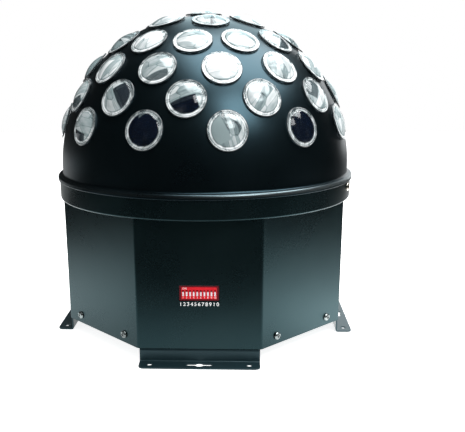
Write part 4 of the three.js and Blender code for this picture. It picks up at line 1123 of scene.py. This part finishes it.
# %% Switch levers
LEVER_Z = UP - 0.7  # half the levers' travel down
for number, x in enumerate(LEVER_X, 1):
    stem = switch_part(f"lever_{number}", 0.6, 1.5, -108.95, -106.85, 0.12, x, LEVER_Z)
    grip = switch_part("grip", 0.5, 0.45, -109.2, -108.8, 0.14, x, LEVER_Z)
    lever = shaded(together(f"lever_{number}", stem, grip))
    fitted(lever, f"lever_{number}", "lever_white", f"switch_lever_{number}")

# %% [markdown]
# The numbers are text. Text is a curve, so it is made a mesh before it is stood against the panel.

# %% Printed numbers
def writing(words, size, x, z, face, bold=0.0):
    """Words centred at a place on a face that looks towards the front."""
    curve = bpy.data.curves.new("words", "FONT")
    curve.body, curve.size, curve.align_x, curve.align_y = words, size * MM, "CENTER", "CENTER"
    curve.extrude, curve.offset = 0.02 * MM, bold * MM
    letters = linked("words", curve)
    graph = bpy.context.evaluated_depsgraph_get()
    mesh = bpy.data.meshes.new_from_object(letters.evaluated_get(graph))
    bpy.data.objects.remove(letters)
    return tidied(moved(linked("words", mesh), Matrix.Translation((x, face, z)) @ UPRIGHT))


DIGITS = "12345678910"
DIGIT_START, DIGIT_PITCH, DIGIT_Z, DIGIT_SIZE = -13.2, 2.66, 45.4, 3.8
numbers = [
    writing(digit, DIGIT_SIZE, DIGIT_START + DIGIT_PITCH * i, DIGIT_Z, -APOTHEM, 0.05)
    for i, digit in enumerate(DIGITS)
]
fitted(together("panel_numbers", *numbers), "housing", "lever_white", look="white_ink")
MARK_OFFSET = 3.4  # of the switch's own marks from its middle
marks = [writing(str(i), 1.7, x, UP - MARK_OFFSET, FACE) for i, x in enumerate(LEVER_X, 1)]
marks.append(writing("ON", 2.1, -10.4, UP + MARK_OFFSET, FACE))
fitted(together("switch_marks", *marks), "housing", "lever_white", look="white_ink")

# %% [markdown]
# ## Fittings at the back
#
# The rear panel carries a mains inlet with its fuse drawer, a rocker switch, two signal sockets and
# the hole of a microphone. They are moulded, so each is a set of blocks and turned parts with rounded
# edges, cut where the plug goes in. They are drawn facing the front and turned round at the end.

# %% Helpers for the rear fittings
def at_rear(piece, place, slot, *stands_for, body="housing"):
    """Turns a piece that faces -Y at y = 0 round onto a place on the rear panel, and fits it there."""
    turned_round = Matrix.Translation((place[0], APOTHEM, place[1])) @ about_z(180)
    fitted(moved(shaded(piece), turned_round), body, slot, *stands_for)


def plate(name, outline, back, front, bevel=0.4):
    """A flat piece between two depths, facing -Y."""
    made = moved(prism(name, outline, -back, -front), UPRIGHT)
    return softened(made, bevel) if bevel else made


def pocket(outline, depth):
    """A cutter from well in front of a fitting to a depth that counts inwards from the panel."""
    return plate("pocket", outline, depth, -5.0, 0)


print("rear fittings at", INLET, ROCKER, SIGNALS, MICROPHONE)

# %% Signal sockets
CONTACT = 1.2  # radius
CONTACTS = [(4 * math.cos(math.radians(a)), 4 * math.sin(math.radians(a))) for a in (-90, 30, 150)]


def socket_body(name):
    """A square plate with cut corners, a raised ring and a barrel behind it."""
    body = plate(name, oblong(13, 15.5, 2.5), 0.0, -2.0)
    barrel = plate("barrel", disc(0, 0, 11.9, 64), 16.0, -2.35, 0.3)
    return carved(body, barrel, operation="UNION")


signal_in = carved(socket_body("signal_in"), pocket(disc(0, 0, 9.7, 64), 12.0))
key = plate("key", rounded(-1.6, 8.0, 1.6, 10.4, 0.4), 11.0, -1.5, 0.2)
at_rear(together("signal_in_body", signal_in, key), SIGNALS[0], "black_plastic", "signal_in_socket")
pins = [plate("pin", disc(x, z, CONTACT, 20), 13.0, 3.4, 0.5) for x, z in CONTACTS]
at_rear(together("signal_in_pins", *pins), SIGNALS[0], "bright_steel")

moat = pocket(disc(0, 0, 8, 64), 10.0)
latch_well = pocket(rounded(-3.3, 8.5, 3.3, 11.3, 0.2), 8.3)
core = plate("core", disc(0, 0, 6.4, 64), 10.5, -1.5, 0.3)
core = carved(core, *[pocket(disc(x, z, CONTACT, 20), 8.0) for x, z in CONTACTS])
signal_out = together("signal_out_body", carved(socket_body("signal_out"), moat, latch_well), core)
at_rear(signal_out, SIGNALS[1], "black_plastic", "signal_out_socket")

latch = block("signal_latch", (-3, -4.5, 8.8), (3, 4.5, 11.0), 0.5, 3)
grips = [block("grip", (-2.4, -4.62, 9.15 + 0.6 * i), (2.4, -4.3, 9.4 + 0.6 * i), 0.1) for i in range(3)]
at_rear(carved(latch, *grips), SIGNALS[1], "bright_steel", "signal_out_latch", body="latch")

# %% [markdown]
# The inlet's recess has the outline of the plug, with two corners cut off. Below it lies the channel
# of the fuse drawer, which is a body of its own and slides out.

# %% Power inlet
CUT = 5.0  # off the recess's two upper corners
RECESS_WIDE, RECESS_LOW, RECESS_HIGH = 12.1, -2.8, 13.8
shoulder = [(RECESS_WIDE, RECESS_HIGH - CUT), (RECESS_WIDE - CUT, RECESS_HIGH)]
mirrored = [(-x, z) for x, z in reversed(shoulder)]
recess = [(-RECESS_WIDE, RECESS_LOW), (RECESS_WIDE, RECESS_LOW), *shoulder, *mirrored]

inlet = plate("power_inlet_body", oblong(15.5, 17.5, 2), 0.0, -2.5)
inlet = carved(inlet, plate("shell", oblong(14, 16, 1), 26.0, -1.0, 0), operation="UNION")
channel = pocket(rounded(-11.3, -14.5, 11.3, -7.5, 0.3), 17.8)
inlet = carved(inlet, pocket(recess, 14.5), channel)
at_rear(softened(inlet, 0.25), INLET, "black_plastic", "power_inlet")
BLADES = [(-7, 4.3), (0, 8.0), (7, 4.3)]
blades = [plate("blade", oblong(1, 2, 0.2, x, z), 15.0, 3.0, 0.3) for x, z in BLADES]
at_rear(together("inlet_blades", *blades), INLET, "bright_steel")

drawer = plate("fuse_drawer_body", rounded(-11, -14.2, 11, -7.8, 0.5), 17.5, -3.7, 0.35)
notch = pocket(rounded(-3.2, -9.3, 3.2, -7.0, 0.5), 1.2)
grooves = [rounded(-9 + 1.2 * i, -13.2, -8.5 + 1.2 * i, -9.9, 0.1) for i in range(16)]
grooves = together("grooves", *[pocket(groove, -3.45) for groove in grooves])
at_rear(carved(drawer, notch, grooves), INLET, "black_plastic", "fuse_drawer", body="fuse")

# %% [markdown]
# The rocker pivots just inside the panel and rests tipped by nine degrees. Its two faces meet in a
# shallow valley, so it is drawn as a section across and raised along X. Its marks are the usual line
# and ring for on and off.

# %% Rocker switch
surround = plate("rocker_surround", oblong(8, 11.5, 1.2), 0.0, -1.8)
surround = carved(surround, plate("shell", oblong(6.8, 10.3, 0.5), 14.0, -1.0, 0), operation="UNION")
surround = carved(surround, pocket(oblong(5.6, 8.8, 0.4), 9.0))
at_rear(softened(surround, 0.2), ROCKER, "black_plastic", "rocker_frame")

dip = [(7.9 - 15.8 * i / 16, 3.1 + 1.4 * abs(1 - i / 8) ** 1.6) for i in range(17)]
section = [(-7.9, -5), (7.9, -5), *dip]
rocker = softened(prism("power_rocker_paddle", section, -5.2, 5.2), 0.45, 3)
# The section's X is the rocker's length and its Y points out of the panel.
stand = Matrix(((0, 0, 1, 0), (0, 1, 0, 0), (-1, 0, 0, 0), (0, 0, 0, 1)))
pivot = Matrix.Translation((ROCKER[0], APOTHEM - 2, ROCKER[1]))
REST_TILT = math.radians(9)
tipped = pivot @ Matrix.Rotation(REST_TILT, 4, "X") @ stand
fitted(shaded(moved(rocker, tipped)), "power_rocker", "gloss_black", "rocker")

MARK_AT, MARK_HEIGHT, MARK_SLOPE = 4.5, 3.68, math.radians(11.4)
ring = carved(prism("ring", disc(0, 0, 1.4), -0.1, 0.03), prism("hole", disc(0, 0, 1.0), -1, 1))
bar = prism("bar", oblong(1.4, 0.25, 0.1), -0.1, 0.03)
for side, mark in ((1, ring), (-1, bar)):
    flat = Matrix.Rotation(side * MARK_SLOPE, 4, "Z") @ Matrix.Rotation(-math.pi / 2, 4, "X")
    moved(mark, tipped @ Matrix.Translation((side * MARK_AT, MARK_HEIGHT, 0)) @ flat)
fitted(together("rocker_marks", ring, bar), "power_rocker", "lever_white", look="white_ink")

# %% [markdown]
# ## Pieces that keep their solid
#
# Boards, the tray, the motor and the other inner pieces are right as they are in the model, so they
# only get a finish. Their solids are never moved.

# %% Finishes for the solids that stay
KEPT = {
    "housing_satin_grey": ["bottom_tray", "top_deck"],
    "black_plastic": ["drive_motor", "fan_frame", "fan_rotor"],
    "bright_steel": ["motor_shaft", "transformer"],
    "black_anodised": ["heat_sink", "microphone"],
    "board_white": ["led_board"],
    "board_green": ["control_board", "supply_board"],
    "gloss_black": ["smoothing_capacitor"],
}
for look, names in KEPT.items():
    for name in names:
        for holder in nodes[name].material_slots:
            holder.material = FINISHES[look]
print("solids kept", sum(len(names) for names in KEPT.values()))

# %% [markdown]
# ## Floor and light
#
# The light stands on a plain white floor, against white. A large soft lamp hangs over it, a small one
# stands at its front right, and two behind it, one of them cool, draw its edges. What the camera sees
# of the floor is raised to white, so that only the shadow shows. A studio is dark beyond its table, so
# what the paint reflects is bright close by and black further off. Light Path tells the two apart.

# %% Floor
floor = prism("floor", [(-3000, -3000), (3000, -3000), (3000, 1600), (-3000, 1600)], -20, 0)


def white_paint(graph):
    return {"Base Color": blend(noise(graph, 300, 2), (0.8, 0.8, 0.8, 1), (0.82, 0.82, 0.82, 1))}


finish("floor_white", {"Roughness": 0.9, "Specular IOR Level": 0.1, "Emission Strength": 1.0}, white_paint)
graph = Graph(FINISHES["floor_white"].node_tree)
path = graph.add("ShaderNodeLightPath")
across, ahead = (axis_of(where(graph), axis) for axis in "XY")
near = spread(graph.maths("ABSOLUTE", across), 0.18, 0.46, 1, 0) * spread(ahead, -0.27, 0.0)
left = spread(across, -0.4, -0.6) * spread(ahead, 0.3, 0.6, 0, 0.35)
far = (1 - near - left) * path.part("Is Glossy Ray")
GLARE_AT = (0.15, -0.04, 0)  # middle of a patch that is brighter in what the paint reflects
glare = spread(graph.measure("DISTANCE", where(graph), GLARE_AT), 0.03, 0.11, 1, 0) * 1.3 + 1.0
glow = path.part("Is Camera Ray") * 0.85 + path.part("Is Glossy Ray") * glare
graph.feed(graph.tree.nodes["Principled BSDF"].inputs["Emission Color"], glow)
black = {"Base Color": (0.012, 0.012, 0.012, 1)}
overlaid(graph, far, graph.add("ShaderNodeBsdfPrincipled", black))
floor.data.materials.append(FINISHES["floor_white"])

# %% Room and lamps
world = bpy.data.worlds.new("room")
bpy.context.scene.world = world
world.use_nodes = True
graph = Graph(world.node_tree)
background = world.node_tree.nodes["Background"]
background.inputs["Color"].default_value = (1, 1, 1, 1)
path = graph.add("ShaderNodeLightPath")
seen = path.part("Is Camera Ray") + path.part("Is Transmission Ray")
ambient = path.part("Is Diffuse Ray") * 0.5 + 0.03
graph.feed(background.inputs["Strength"], graph.add("ShaderNodeClamp", {"Value": seen + ambient}))


def lamp(name, place, target, width, height, watts, colour=(1, 1, 1)):
    """A soft oblong lamp at a place in metres, aimed at another."""
    made = bpy.data.objects.new(name, bpy.data.lights.new(name, "AREA"))
    bpy.context.scene.collection.objects.link(made)
    made.data.shape, made.data.size, made.data.size_y = "RECTANGLE", width, height
    made.data.energy, made.data.color = watts, colour
    made.location = place
    made.rotation_euler = (Vector(target) - Vector(place)).to_track_quat("-Z", "Y").to_euler()
    print("lamp", name, "of", watts, "W")


lamp("overhead", (0.32, 0.12, 1.25), (0, 0, 0.17), 1.0, 1.2, 28)
lamp("front_right", (0.5, -0.75, 1.0), (0, 0, 0.17), 0.5, 0.5, 6.5)
lamp("back", (0.6, 1.7, 0.4), (0.6, 0, 0.2), 1.8, 1.0, 8.5)
lamp("over_back", (0.12, 1.25, 1.15), (0.05, 0, 0.24), 0.8, 1.0, 4.6, (0.72, 0.94, 1))

bpy.context.scene.view_settings.view_transform = "Standard"
